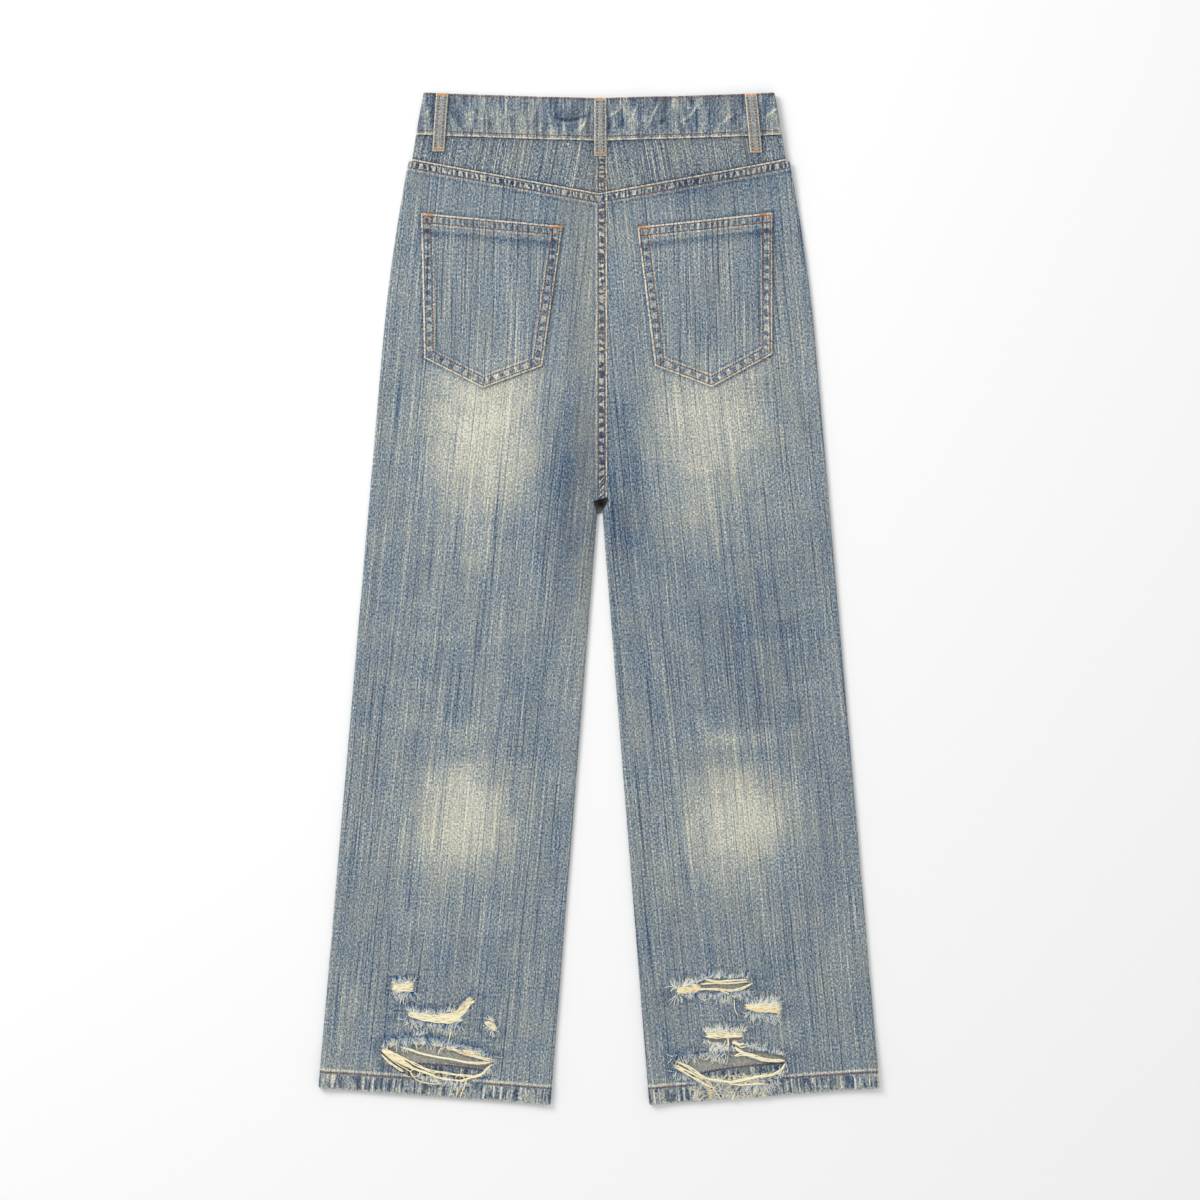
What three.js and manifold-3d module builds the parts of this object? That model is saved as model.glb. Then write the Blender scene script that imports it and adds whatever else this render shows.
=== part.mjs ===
// Wide-leg denim jeans with ripped hems, laid flat on a table with the back upwards.
//
// Millimetres. +Y runs from the hems to the waist, +X is the wearer's right and +Z is up.
// The origin is the middle of the outline, on the table.
//
// Each cut piece is one sheet of cloth with an outside and an inside face. The sheets lie on
// each other: the fronts on the table, the backs on the fronts, the pockets and loops outside.
// At the outseams and inseams the two sheets roll up and down to meet at half height.

import * as THREE from "three";
import { mergeVertices } from "three/addons/utils/BufferGeometryUtils.js";
import Module from "manifold-3d";

const wasm = await Module();
wasm.setup();

// ---- Driving dimensions ----

const CLOTH = 1.3; // one layer of denim
const BAND = 2.4; // the waistband, folded double
const LOOP = 2; // a belt loop, folded in three and pressed
const HEM = 2.6; // the hem, turned up twice
const GAP = 0.3; // between pieces at a seam
const AIR = 0.4; // between the fronts and the backs where they lie together

const HEM_BAND = 17; // height of the turned-up hem
const HEM_STEP = 1.3; // over which the hem's extra thickness runs out
const HEM_START = 36; // height over the hem at which its own rows begin
const FRONT_HEM_ARCH = 14; // the front hems are cut this much shorter in the middle

const CROTCH = 108; // height of the fork over the middle of the outline
const CROTCH_REACH = 10; // above and below it the flat seam turns into two rolled inseams
const SEAT_SEAM = 8.5; // the felled centre seam laps this far to the wearer's right
const SEAM_AT_FORK = 1.5; // half the space between the legs at the fork

const ROLL = 3.2; // how far in from the outline a rolled edge reaches
const SIDE_PUFF = 2; // how much fuller the rolled edges are than the middle
const PUFF_REACH = 16;

const SCOOP = { x: 190, y: 472, across: 95, down: 77 }; // mouth of a front pocket
const BAND_LAP = { left: 22, right: -20 }; // ends of the two front bands past the centre
const LOOP_WIDTH = 12.2;
const FRONT_LOOP_X = 96;
const FRONT_LOOP_DROP = 17; // below the front band
const BUTTON = { x: 9, y: 477, radius: 8.5 };

// Lines across the garment: a height in the middle and how fast it climbs to the sides.
const rising = (middle, slope) => (x) => middle + slope * Math.abs(x);
const bandTop = rising(510.5, 0.033);
const bandBottom = rising(467.2, 0.035);
const frontBandTop = rising(498, 0.1);
const frontBandBottom = rising(455, 0.1);
const yokeSeam = rising(414.6, 0.181);
const hemLine = rising(-519.3, 0.0734);

// Outlines of the back pockets: the mouth from side to centre, and the point at the foot.
const POCKETS = {
  left: {
    mouth: [[-181.6, 394.2], [-37.1, 381]],
    foot: [[-178.5, 246.3], [-118.4, 215.7], [-57.9, 238.2]],
  },
  right: {
    mouth: [[176.9, 394.8], [39, 380.2]],
    foot: [[176.9, 250.1], [115.1, 216.5], [57.1, 238.4]],
  },
};

// Belt loops of the back: where the middle of each crosses the top and where it ends.
const BACK_LOOPS = {
  left: { top: [-159.6, 516], foot: [-163.7, 456.5] },
  centre: { top: [1.4, 510.8], foot: [1.4, 451.4] },
  right: { top: [154.5, 515.4], foot: [160.1, 455.4] },
};

// Rips worn right through a back leg: two half ellipses, one above and one below their chord.
const RIPS = {
  left: [{ x: -164.7, y: -464.3, half: 57, above: 9.2, below: 27, tilt: -4.5 }],
  right: [
    { x: 134.4, y: -471, half: 57.8, above: 11, below: 21, tilt: 0 },
    { x: 127.5, y: -393.7, half: 24, above: 3.6, below: 3.8, tilt: 3 },
  ],
};

const COLOURS = {
  denim: 0x88919a,
  yoke: 0x838a92,
  band: 0x828990,
  pocket: 0x8a929a,
  loop: 0x9a9998,
  brass: 0xa08a5e,
};

// ---- The outline ----

const { lerp, smoothstep, degToRad } = THREE.MathUtils;

// Distance of the outseam from the centre line: straight down the leg, drawn in at the hip.
const HIP_START = 260;
const HIP_CURVE = 2.99e-4;
const YOKE_INSET = 3.5; // the yoke is eased into a slightly wider leg
const YOKE_START = 446;
const YOKE_FADE = 70;
function outseam(y) {
  const hip = HIP_CURVE * Math.max(0, y - HIP_START) ** 2;
  const eased = y > YOKE_START ? YOKE_INSET * Math.max(0, 1 - (y - YOKE_START) / YOKE_FADE) : 0;
  return 243.3 - 0.0865 * y - hip - eased;
}

// How far a place has come from the flat centre seam, 0, to the two rolled inseams, 1.
const forked = (y) => 1 - smoothstep(y, CROTCH - CROTCH_REACH, CROTCH + CROTCH_REACH);

// Distance of the inseam from the centre line.
const inseam = (y) => Math.max(SEAM_AT_FORK, 9.7 - 0.079 * y);

// The inner edge of a leg: the centre seam above the fork, the inseam below it.
const innerEdge = (side, y) => lerp(SEAT_SEAM + (side * GAP) / 2, side * inseam(y), forked(y));

// ---- How high the sheets lie ----

const FRONT_LIFT = LOOP + GAP; // the front waistband lies on its loops and button
const SEAT_RISE = FRONT_LIFT + BAND - CLOTH; // and lifts the yokes over it
const LAP_RISE = BAND + GAP; // where the two front bands lie over each other

// Outside face of the fronts: on the table, lifted at the waist by the loops under it.
const frontOutside = (x, y) => FRONT_LIFT * smoothstep(y, 395, 438);

// The hump over the place where the front bands lap.
const lapHump = (x, y) =>
  LAP_RISE * (1 - smoothstep(Math.abs(x - 10), 32, 70)) * smoothstep(y, 395, 455);

// The rise over the two hems: a step at the front hem, a step at the back hem.
function hemRise(x, y) {
  const height = y - hemLine(x);
  const overFront = THREE.MathUtils.clamp((70 - height) / 37, 0, 1);
  const overBoth = THREE.MathUtils.clamp((33 - height) / 14.5, 0, 1);
  return (HEM - CLOTH) * (overFront + overBoth);
}

// The backs stand fuller beside the rolled seams, where the seam allowances lie inside.
function puff(x, y) {
  const fromSide = (outseam(y) - Math.abs(x)) / PUFF_REACH;
  const fromInseam = (Math.abs(x) - inseam(y)) / PUFF_REACH;
  return SIDE_PUFF * (Math.exp(-(fromSide ** 2)) + forked(y) * Math.exp(-(fromInseam ** 2)));
}

// Outside face of the back cloth and of the back waistband.
const backOutside = (x, y) =>
  2 * CLOTH + AIR + puff(x, y) + hemRise(x, y) + SEAT_RISE * smoothstep(y, 385, 455) + lapHump(x, y);
const backBandOutside = (x, y) => backOutside(x, y) + BAND - CLOTH;

// Half height of the rolled sides, where the back and the front meet.
const sideMiddle = (x, y) => (frontOutside(x, y) + backOutside(x, y)) / 2;
const bandMiddle = (x, y) => (frontOutside(x, y) + backBandOutside(x, y)) / 2;

const hemThickness = (bottom) => (x, y) =>
  lerp(HEM, CLOTH, THREE.MathUtils.clamp((y - bottom(x) - HEM_BAND) / HEM_STEP, 0, 1));

// ---- Sheets of cloth ----

const TURN = [0, 30, 60, 90].map(degToRad); // steps of a rolled edge, from its seam to the flat

// Courses are lines across a piece, from its top to its bottom.
const between = (top, bottom, shares) =>
  shares.map((share) => (x) => lerp(top(x), bottom(x), share));
const offset = (line, distance) => (x) => line(x) + distance;

// The x at which an edge crosses a course.
function crossing(edge, course) {
  let x = edge(course(0));
  for (let step = 0; step < 8; step += 1) {
    x = edge(course(x));
  }
  return x;
}

// The columns across a sheet: each rolled end has its turn, and the flats close up to the ends.
function columnsAcross(startRolls, endRolls, flats) {
  const turned = (end, rolls) => (rolls ? TURN : [Math.PI / 2]).map((angle) => ({ end, angle }));
  const middle = Array.from({ length: flats - 1 }, (_, i) => ({
    share: 0.5 - 0.5 * Math.cos((Math.PI * (i + 1)) / flats),
  }));
  return [...turned("start", startRolls), ...middle, ...turned("finish", endRolls).reverse()];
}

// One sheet of cloth as a closed geometry. Its courses run from top to bottom; start(y) and
// finish(y) are its two ends; startRoll(y) and finishRoll(y) are 0 for a cut edge and 1 for an
// edge rolled round the side; outside(x, y) is the height of its outside face, which looks up
// for facing 1 and down for facing -1.
function sheet({
  courses,
  start,
  finish,
  startRoll,
  finishRoll,
  outside,
  thickness,
  middle,
  facing = 1,
  flats = 10,
}) {
  const columns = columnsAcross(Boolean(startRoll), Boolean(finishRoll), flats);
  const place = (course, column, depth) => {
    const x0 = crossing(start, course);
    const x1 = crossing(finish, course);
    const way = Math.sign(x1 - x0);
    const reach = { start: startRoll ? ROLL : 0, finish: finishRoll ? ROLL : 0 };
    let x = 0;
    let roll = 0;
    let drop = 0;
    if (column.share === undefined) {
      const atStart = column.end === "start";
      const edgeX = atStart ? x0 : x1;
      const edgeRoll = atStart ? startRoll : finishRoll;
      const inwards = atStart ? way : -way;
      roll = edgeRoll ? edgeRoll(course(edgeX)) : 0;
      const wall = depth * roll * thickness(edgeX, course(edgeX));
      const radius = reach[column.end];
      x = edgeX + inwards * (radius - (radius - wall) * Math.cos(column.angle));
      drop = roll * (1 - Math.sin(column.angle));
    } else {
      x = lerp(x0 + way * reach.start, x1 - way * reach.finish, column.share);
    }
    const y = course(x);
    const face = outside(x, y) - facing * depth * thickness(x, y);
    const seam = middle ? middle(x, y) + (facing * GAP) / 2 : face;
    return new THREE.Vector3(x, y, lerp(face, seam, drop));
  };
  const grid = [0, 1].map((depth) =>
    courses.map((course) => columns.map((column) => place(course, column, depth))),
  );
  return closedSheet(grid[0], grid[1]);
}

// Joins two grids of points of the same size into one closed skin that faces outwards.
function closedSheet(outer, inner) {
  const rows = outer.length;
  const across = outer[0].length;
  const points = [...outer.flat(), ...inner.flat()];
  const at = (layer, row, column) => layer * rows * across + row * across + column;
  const faces = [];
  const quad = (a, b, c, d) => faces.push([a, b, c], [a, c, d]);
  for (let row = 0; row < rows - 1; row += 1) {
    for (let column = 0; column < across - 1; column += 1) {
      const corners = [[row, column], [row, column + 1], [row + 1, column + 1], [row + 1, column]];
      quad(...corners.map(([r, c]) => at(0, r, c)));
      quad(...corners.map(([r, c]) => at(1, r, c)).reverse());
    }
  }
  const rim = [];
  for (let column = 0; column < across; column += 1) rim.push([0, column]);
  for (let row = 1; row < rows; row += 1) rim.push([row, across - 1]);
  for (let column = across - 2; column >= 0; column -= 1) rim.push([rows - 1, column]);
  for (let row = rows - 2; row > 0; row -= 1) rim.push([row, 0]);
  rim.forEach(([r, c], i) => {
    const [nextRow, nextColumn] = rim[(i + 1) % rim.length];
    quad(at(0, r, c), at(1, r, c), at(1, nextRow, nextColumn), at(0, nextRow, nextColumn));
  });
  if (signedVolume(points, faces) < 0) faces.forEach((face) => face.reverse());
  const geometry = new THREE.BufferGeometry().setFromPoints(points);
  geometry.setIndex(faces.flat());
  return geometry;
}

function signedVolume(points, faces) {
  const normal = new THREE.Vector3();
  return faces.reduce((sum, [a, b, c]) => {
    normal.crossVectors(points[b], points[c]);
    return sum + points[a].dot(normal) / 6;
  }, 0);
}

// ---- Cutting ----

function toSolid(geometry) {
  const bare = geometry.clone();
  bare.deleteAttribute("normal");
  bare.deleteAttribute("uv");
  const merged = mergeVertices(bare, 1e-4);
  return new wasm.Manifold(
    new wasm.Mesh({
      numProp: 3,
      vertProperties: new Float32Array(merged.attributes.position.array),
      triVerts: new Uint32Array(merged.index.array),
    }),
  );
}

function toGeometry(solid) {
  const mesh = solid.getMesh();
  const geometry = new THREE.BufferGeometry();
  geometry.setAttribute("position", new THREE.BufferAttribute(mesh.vertProperties, 3));
  geometry.setIndex(new THREE.BufferAttribute(mesh.triVerts, 1));
  return geometry;
}

// An upright punch through every layer, with the outline of a flat shape.
const PUNCH_DEPTH = 60;
function punch(shape) {
  const settings = { depth: PUNCH_DEPTH, bevelEnabled: false, curveSegments: 12 };
  const geometry = new THREE.ExtrudeGeometry(shape, settings);
  return toSolid(geometry.translate(0, 0, -PUNCH_DEPTH / 2));
}

// The outline of a rip: a half ellipse above its chord and another below it.
function ripOutline({ x, y, half, above, below, tilt }) {
  const turn = degToRad(tilt);
  const steps = 20;
  const outline = Array.from({ length: steps }, (_, i) => {
    const angle = (2 * Math.PI * i) / steps;
    const height = Math.sin(angle) * (angle < Math.PI ? above : below);
    const point = new THREE.Vector2(half * Math.cos(angle), height);
    return point.rotateAround(new THREE.Vector2(), turn).add(new THREE.Vector2(x, y));
  });
  return new THREE.Shape(outline);
}

// The mouth of a front pocket is a quarter of an ellipse round the corner at the hip.
function scoopOutline(side, shrink) {
  const across = SCOOP.across - shrink;
  const down = SCOOP.down - shrink;
  return new THREE.Shape().absellipse(side * SCOOP.x, SCOOP.y, across, down, 0, 2 * Math.PI);
}

// ---- The pieces ----

const jeans = new THREE.Group();

function add(name, geometry, colour, roughness = 0.92, metalness = 0) {
  const material = new THREE.MeshStandardMaterial({ color: colour, roughness, metalness });
  geometry.computeVertexNormals();
  const mesh = new THREE.Mesh(geometry, material);
  mesh.name = name;
  jeans.add(mesh);
}

const rolled = () => 1;

// Shares of a leg's length: closer together at the seat's rise and round the fork.
const LEG_SHARES = [
  ...[0, 0.017, 0.034, 0.051, 0.068, 0.085],
  ...[0.15, 0.22, 0.28, 0.318, 0.325, 0.332, 0.34, 0.37, 0.43],
  ...[0.55, 0.7, 0.85, 0.96],
];
const HEM_HEIGHTS = [HEM_START, HEM_BAND + HEM_STEP, HEM_BAND, HEM_BAND / 2, 0];

const legCourses = (top, bottom) => [
  ...between(top, offset(bottom, HEM_START), LEG_SHARES),
  ...HEM_HEIGHTS.map((height) => offset(bottom, height)),
];

const frontHemLine = (x) =>
  hemLine(x) + FRONT_HEM_ARCH * Math.max(0, 1 - ((Math.abs(x) - 168) / 118) ** 2);

for (const [word, side] of [["left", -1], ["right", 1]]) {
  const ends = { start: (y) => innerEdge(side, y), finish: (y) => side * outseam(y) };

  // Back leg, with the rips worn through it.
  const backLeg = sheet({
    ...ends,
    courses: legCourses(offset(yokeSeam, -GAP / 2), hemLine),
    startRoll: forked,
    finishRoll: rolled,
    outside: backOutside,
    thickness: hemThickness(hemLine),
    middle: sideMiddle,
  });
  const holes = RIPS[word].map((rip) => punch(ripOutline(rip)));
  const worn = holes.reduce((cloth, hole) => cloth.subtract(hole), toSolid(backLeg));
  add(`back_leg_${word}`, toGeometry(worn), COLOURS.denim);

  // Back yoke, between the leg and the waistband.
  const yoke = sheet({
    ...ends,
    courses: between(offset(bandBottom, -GAP), offset(yokeSeam, GAP / 2), [0, 0.33, 0.67, 1]),
    finishRoll: rolled,
    outside: backOutside,
    thickness: () => CLOTH,
    middle: sideMiddle,
    flats: 8,
  });
  add(`back_yoke_${word}`, yoke, COLOURS.yoke);

  // Front leg, with the corner at the hip scooped out for the pocket, and the pocket's facing,
  // which fills that corner.
  const front = toSolid(
    sheet({
      ...ends,
      courses: legCourses(offset(frontBandBottom, -GAP), frontHemLine),
      startRoll: forked,
      finishRoll: rolled,
      outside: frontOutside,
      thickness: hemThickness(frontHemLine),
      middle: sideMiddle,
      facing: -1,
    }),
  );
  const scooped = front.subtract(punch(scoopOutline(side, 0)));
  const facing = front.intersect(punch(scoopOutline(side, GAP)));
  add(`front_leg_${word}`, toGeometry(scooped), COLOURS.denim);
  add(`pocket_facing_${word}`, toGeometry(facing), COLOURS.denim);

  // Back pocket, a five-sided patch on the back leg.
  const { mouth, foot } = POCKETS[word];
  const along = (from, to) => (x) =>
    lerp(from[1], to[1], (x - from[0]) / (to[0] - from[0]));
  const edge = (from, to) => (y) => lerp(from[0], to[0], (y - from[1]) / (to[1] - from[1]));
  const foots = (x) =>
    Math.abs(x) > Math.abs(foot[1][0]) ? along(foot[0], foot[1])(x) : along(foot[1], foot[2])(x);
  const pocket = sheet({
    courses: between(along(...mouth), foots, [0, 0.06, 0.4, 0.75, 1]),
    start: edge(mouth[0], foot[0]),
    finish: edge(mouth[1], foot[2]),
    outside: (x, y) => backOutside(x, y) + GAP + CLOTH,
    thickness: () => CLOTH,
  });
  add(`back_pocket_${word}`, pocket, COLOURS.pocket);

  // Half of the front waistband. The left one laps over the right one at the button.
  const lift = (x) => (side > 0 ? LAP_RISE * (1 - smoothstep(x, BAND_LAP.left + 2, 40)) : 0);
  const frontBand = sheet({
    courses: between(frontBandTop, frontBandBottom, [0, 0.5, 1]),
    start: () => BAND_LAP[word],
    finish: ends.finish,
    finishRoll: rolled,
    outside: (x, y) => frontOutside(x, y) + lift(x),
    thickness: () => BAND,
    middle: bandMiddle,
    facing: -1,
  });
  add(`waistband_front_${word}`, frontBand, COLOURS.band);
}

const backBand = sheet({
  courses: between(bandTop, bandBottom, [0, 0.5, 1]),
  start: (y) => -outseam(y),
  finish: outseam,
  startRoll: rolled,
  finishRoll: rolled,
  outside: backBandOutside,
  thickness: () => BAND,
  middle: bandMiddle,
  flats: 20,
});
add("waistband_back", backBand, COLOURS.band);

// A belt loop is a straight strip from the top of the band to just below it.
function loopStrip(top, foot, outside) {
  const centre = (y) => lerp(foot[0], top[0], (y - foot[1]) / (top[1] - foot[1]));
  return sheet({
    courses: between(() => top[1], () => foot[1], [0, 0.3, 0.68, 0.76, 1]),
    start: (y) => centre(y) - LOOP_WIDTH / 2,
    finish: (y) => centre(y) + LOOP_WIDTH / 2,
    outside,
    thickness: () => LOOP,
    flats: 2,
  });
}

// A back loop steps down from the band to the yoke.
function overBack(x, y) {
  const onBand = smoothstep(y, bandBottom(x) - 5, bandBottom(x) - 1);
  return lerp(backOutside(x, y), backBandOutside(x, y), onBand) + GAP + LOOP;
}
for (const [word, { top, foot }] of Object.entries(BACK_LOOPS)) {
  add(`belt_loop_back_${word}`, loopStrip(top, foot, overBack), COLOURS.loop);
}

// A front loop lies flat on the table under the band.
for (const [word, side] of [["left", -1], ["right", 1]]) {
  const x = side * FRONT_LOOP_X;
  const foot = frontBandBottom(x) - FRONT_LOOP_DROP;
  const strip = loopStrip([x, frontBandTop(x)], [x, foot], () => LOOP);
  add(`belt_loop_front_${word}`, strip, COLOURS.loop);
}

// The waist button's head, face down on the table under the lapped bands.
const head = [[0, 0], [6.6, 0], [8, 0.5], [BUTTON.radius, 1.2], [8, LOOP], [0, LOOP]];
const button = new THREE.LatheGeometry(head.map(([r, z]) => new THREE.Vector2(r, z)), 24);
button.rotateX(Math.PI / 2).translate(BUTTON.x, BUTTON.y, 0);
add("waist_button", toGeometry(toSolid(button)), COLOURS.brass, 0.45, 0.9);

export default jeans;
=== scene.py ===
# %% [markdown]
# # A pair of ripped jeans, laid flat
#
# The garment lies on its front, so the back shows. Every cut piece is one sheet of denim. The
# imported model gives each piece's place and thickness; here each one becomes a fine sheet with
# its folds, puckers, wear and stitching, and the torn hems get their loose threads.

import bpy
import numpy as np
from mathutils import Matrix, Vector


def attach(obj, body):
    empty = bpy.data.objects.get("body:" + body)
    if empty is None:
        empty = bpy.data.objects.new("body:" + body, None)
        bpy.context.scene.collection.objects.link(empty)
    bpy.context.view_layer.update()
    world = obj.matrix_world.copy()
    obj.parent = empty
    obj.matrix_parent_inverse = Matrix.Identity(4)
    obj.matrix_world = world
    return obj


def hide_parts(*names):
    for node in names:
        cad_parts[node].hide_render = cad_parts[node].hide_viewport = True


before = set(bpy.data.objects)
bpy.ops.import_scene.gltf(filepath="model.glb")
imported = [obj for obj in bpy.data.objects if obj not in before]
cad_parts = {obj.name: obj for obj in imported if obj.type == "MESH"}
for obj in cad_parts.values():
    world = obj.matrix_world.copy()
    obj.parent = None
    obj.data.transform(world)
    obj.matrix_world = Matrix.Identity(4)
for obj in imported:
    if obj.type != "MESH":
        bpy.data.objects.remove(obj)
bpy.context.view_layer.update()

# %% [markdown]
# ## Sizes
#
# Shapes are worked out in millimetres, because cloth is thin, and turned into metres when a mesh
# is made. x runs to the wearer's right, y from the hems to the waist and z up.

# %% Sizes in millimetres
MM = 0.001
CLOTH = 1.3  # one layer of denim
BAND = 2.4  # the waistband, folded double
LOOP = 2.0  # a belt loop, folded in three
HEM = 2.6  # the turned-up hem
GAP = 0.3  # left between pieces that lie on each other
AIR = 0.4  # between the front and the back of a leg
HEM_BAND = 17.0  # height of the turned-up hem
SEAT_SEAM = 8.5  # where the centre seam runs
ROLL = 3.2  # radius of the cloth's turn at a side
SIDE_PUFF = 2.0  # how much fuller the sides stand
PUFF_REACH = 16.0
ROW_ONE = 2.4  # the two rows of stitches, from the fold
ROW_TWO = 9.4
FAR_GAP = 40.0  # the gap of points that are near no folded edge
YOKE_COS = 0.984  # cosine of the yoke seam's slope
print("a layer of cloth is", CLOTH, "mm, and the hem", HEM, "mm")

# %% [markdown]
# ## Small helpers
#
# A blend, an S curve and soft random hills are enough for all the shapes below. The random
# tables have fixed seeds, so every run gives the same cloth.

# %% Blends and soft noise


def mix(a, b, share):
    """a where share is 0 and b where it is 1."""
    return a + (b - a) * share


def smooth(value, low, high):
    """0 below low, 1 above high, and the S curve 3t^2 - 2t^3 between them."""
    t = np.clip((value - low) / (high - low), 0, 1)
    return t * t * (3 - 2 * t)


def bump(value, centre, width):
    """A bell of height 1 at centre: e to the minus square of the distance in widths."""
    return np.exp(-(((value - centre) / width) ** 2))


def cloud(x, y, size, seed):
    """Soft hills from -1 to 1: random heights on a lattice size mm apart, joined by S curves."""
    table = np.random.default_rng(seed).uniform(-1, 1, (64, 64))
    i, j = x / size, y / size
    i0, j0 = np.floor(i).astype(int), np.floor(j).astype(int)
    u, v = smooth(i - i0, 0, 1), smooth(j - j0, 0, 1)
    low = mix(table[i0 % 64, j0 % 64], table[(i0 + 1) % 64, j0 % 64], u)
    high = mix(table[i0 % 64, (j0 + 1) % 64], table[(i0 + 1) % 64, (j0 + 1) % 64], u)
    return mix(low, high, v)


def hills(x, y, size, seed):
    """A cloud over the garment, moved so that the lattice starts outside it."""
    return cloud(x + 900, y + 900, size, seed)


def rising(middle, slope):
    """A line across the garment that is lowest in the middle and climbs to both sides."""
    return lambda x: middle + slope * np.abs(x)


band_top = rising(510.5, 0.033)
band_bottom = rising(467.2, 0.035)
front_band_top = rising(498.0, 0.1)
front_band_bottom = rising(455.0, 0.1)
yoke_seam = rising(414.6, 0.181)
hem_line = rising(-519.3, 0.0734)
print("the hem's middle lies at", float(hem_line(0)), "mm")

# %% [markdown]
# ## The outline
#
# The outseam runs straight down the leg and is drawn in at the hip. Above the fork the two legs
# meet in the centre seam; below it each has its own inseam. `forked` says which of the two holds.

# %% The outline


def outseam(y):
    """Distance of the outseam from the middle: a straight line less a parabola at the hip."""
    hip = 2.99e-4 * np.maximum(0, y - 260) ** 2
    eased = np.where(y > 446, 3.5 * np.maximum(0, 1 - (y - 446) / 70), 0)
    return 243.3 - 0.0865 * y - hip - eased


def inseam(y):
    """Distance of the inseam from the middle: a straight line, never less than at the fork."""
    return np.maximum(1.5, 9.7 - 0.079 * y)


def forked(y):
    """0 above the fork, 1 below it."""
    return 1 - smooth(y, 98, 108)


def back_inner_edge(side):
    """The centre seam above the fork and the inseam below, which opens in a small notch."""
    return lambda y: mix(
        SEAT_SEAM + side * GAP / 2,
        side * (inseam(y) + 4.4 * bump(y, 101, 7.5)) + 0.8 + 2.8 * (side > 0) * bump(y, 105, 9),
        1 - smooth(y, 100, 105),
    )


def front_inner_edge(side):
    """The same for the front, whose fork hangs lower and shows through the notch."""
    return lambda y: mix(SEAT_SEAM + side * GAP / 2, side * inseam(y) + 0.8, 1 - smooth(y, 86, 92))


def front_forked(y):
    """The same blend for the front, a little lower."""
    return 1 - smooth(y, 84, 94)


print("half the hips measures", round(float(outseam(260.0)), 1), "mm")

# %% [markdown]
# ## How high the cloth lies
#
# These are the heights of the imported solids: the fronts on the table, lifted at the waist by
# their loops and button, the backs on the fronts, fuller beside the rolled side seams.

# %% Heights of the layers
FRONT_LIFT = LOOP + GAP
SEAT_RISE = FRONT_LIFT + BAND - CLOTH
LAP_RISE = BAND + GAP


def front_outside(x, y):
    """Height of the outside of the fronts over the table."""
    return FRONT_LIFT * smooth(y, 395, 438) + 0 * x


def lap_hump(x, y):
    """The hump where the two front bands lap: a flat top with S-curved sides."""
    return LAP_RISE * (1 - smooth(np.abs(x - 10), 32, 70)) * smooth(y, 395, 455)


def hem_rise(x, y):
    """Two steps, over the front hem and over the back hem."""
    height = y - hem_line(x)
    return (HEM - CLOTH) * (smooth(-height, -70, -33) + smooth(-height, -33, -18.5))


def puff(x, y):
    """Bells of height SIDE_PUFF along the outseam and the inseam."""
    side = np.exp(-(((outseam(y) - np.abs(x)) / PUFF_REACH) ** 2))
    inner = np.exp(-(((np.abs(x) - inseam(y)) / PUFF_REACH) ** 2))
    return SIDE_PUFF * (side + forked(y) * inner)


def back_plain(x, y):
    """Height of the outside of the back cloth with no relief on it."""
    seat = SEAT_RISE * smooth(y, 385, 455)
    return 2 * CLOTH + AIR + puff(x, y) + hem_rise(x, y) + seat + lap_hump(x, y)


def side_middle(x, y):
    """Half height between the fronts and the backs, where the side seams lie."""
    return (front_outside(x, y) + back_plain(x, y)) / 2


def band_middle(x, y):
    """The same for the waistband."""
    return (front_outside(x, y) + back_plain(x, y) + BAND - CLOTH) / 2


print("the seat is lifted", round(SEAT_RISE, 1), "mm and the lap", round(LAP_RISE, 1), "mm")


# %% [markdown]
# ## Creases and puckers
#
# A garment that has been worn keeps its creases even when it is laid flat. The main ones are
# listed: faint whiskers across the thighs, short folds that run out from the fork, and
# a broad unevenness all over. Seams pucker, because thread shrinks less than cloth: between the
# two rows of stitches the cloth stands up in short slanted ridges.

# %% Creases, listed
# Each crease: start x, start y, end x, end y, width, height. Mirrored to the other leg with the
# small shift that keeps the two sides from matching exactly.
WHISKERS = [
    (-238, 12, -150, -12, 5.0, 0.55), (-225, -28, -120, -40, 6.0, 0.6),
    (-60, -20, -130, -62, 5.0, 0.45), (-246, -70, -140, -96, 6.5, 0.55),
    (-238, -118, -90, -132, 7.0, 0.5), (-70, -100, -150, -148, 6.0, 0.4),
    (-200, 60, -110, 36, 7.0, 0.35), (-245, -310, -160, -330, 9.0, 0.4),
    (-140, -345, -75, -322, 8.0, 0.35),
]
FORK_FOLDS = [
    (-4, 124, -12.5, 104, 1.5, 0.6), (-12.5, 108, -8, 88, 1.5, 0.6), (11, 112, 14, 99, 1.3, 0.5),
    (13.5, 103, 7, 86, 1.3, 0.5), (-5, 150, -9, 122, 2.0, 0.4), (-14, 132, -20, 84, 3.0, 0.3),
    (21, 200, 25, 84, 4.0, 0.3),
]


def curve_through(corners, count):
    """A smooth path through hand-placed points: a Catmull-Rom spline."""
    p = np.asarray(corners, float)
    p = np.concatenate([[2 * p[0] - p[1]], p, [2 * p[-1] - p[-2]]])
    at = np.linspace(0, len(p) - 3 - 1e-6, count)
    i = at.astype(int)
    t = (at - i)[:, None]
    a, b, c, d = p[i], p[i + 1], p[i + 2], p[i + 3]
    square = (2 * a - 5 * b + 4 * c - d) * t**2
    cube = (3 * b - a - 3 * c + d) * t**3
    return 0.5 * (2 * b + (c - a) * t + square + cube)


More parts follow.
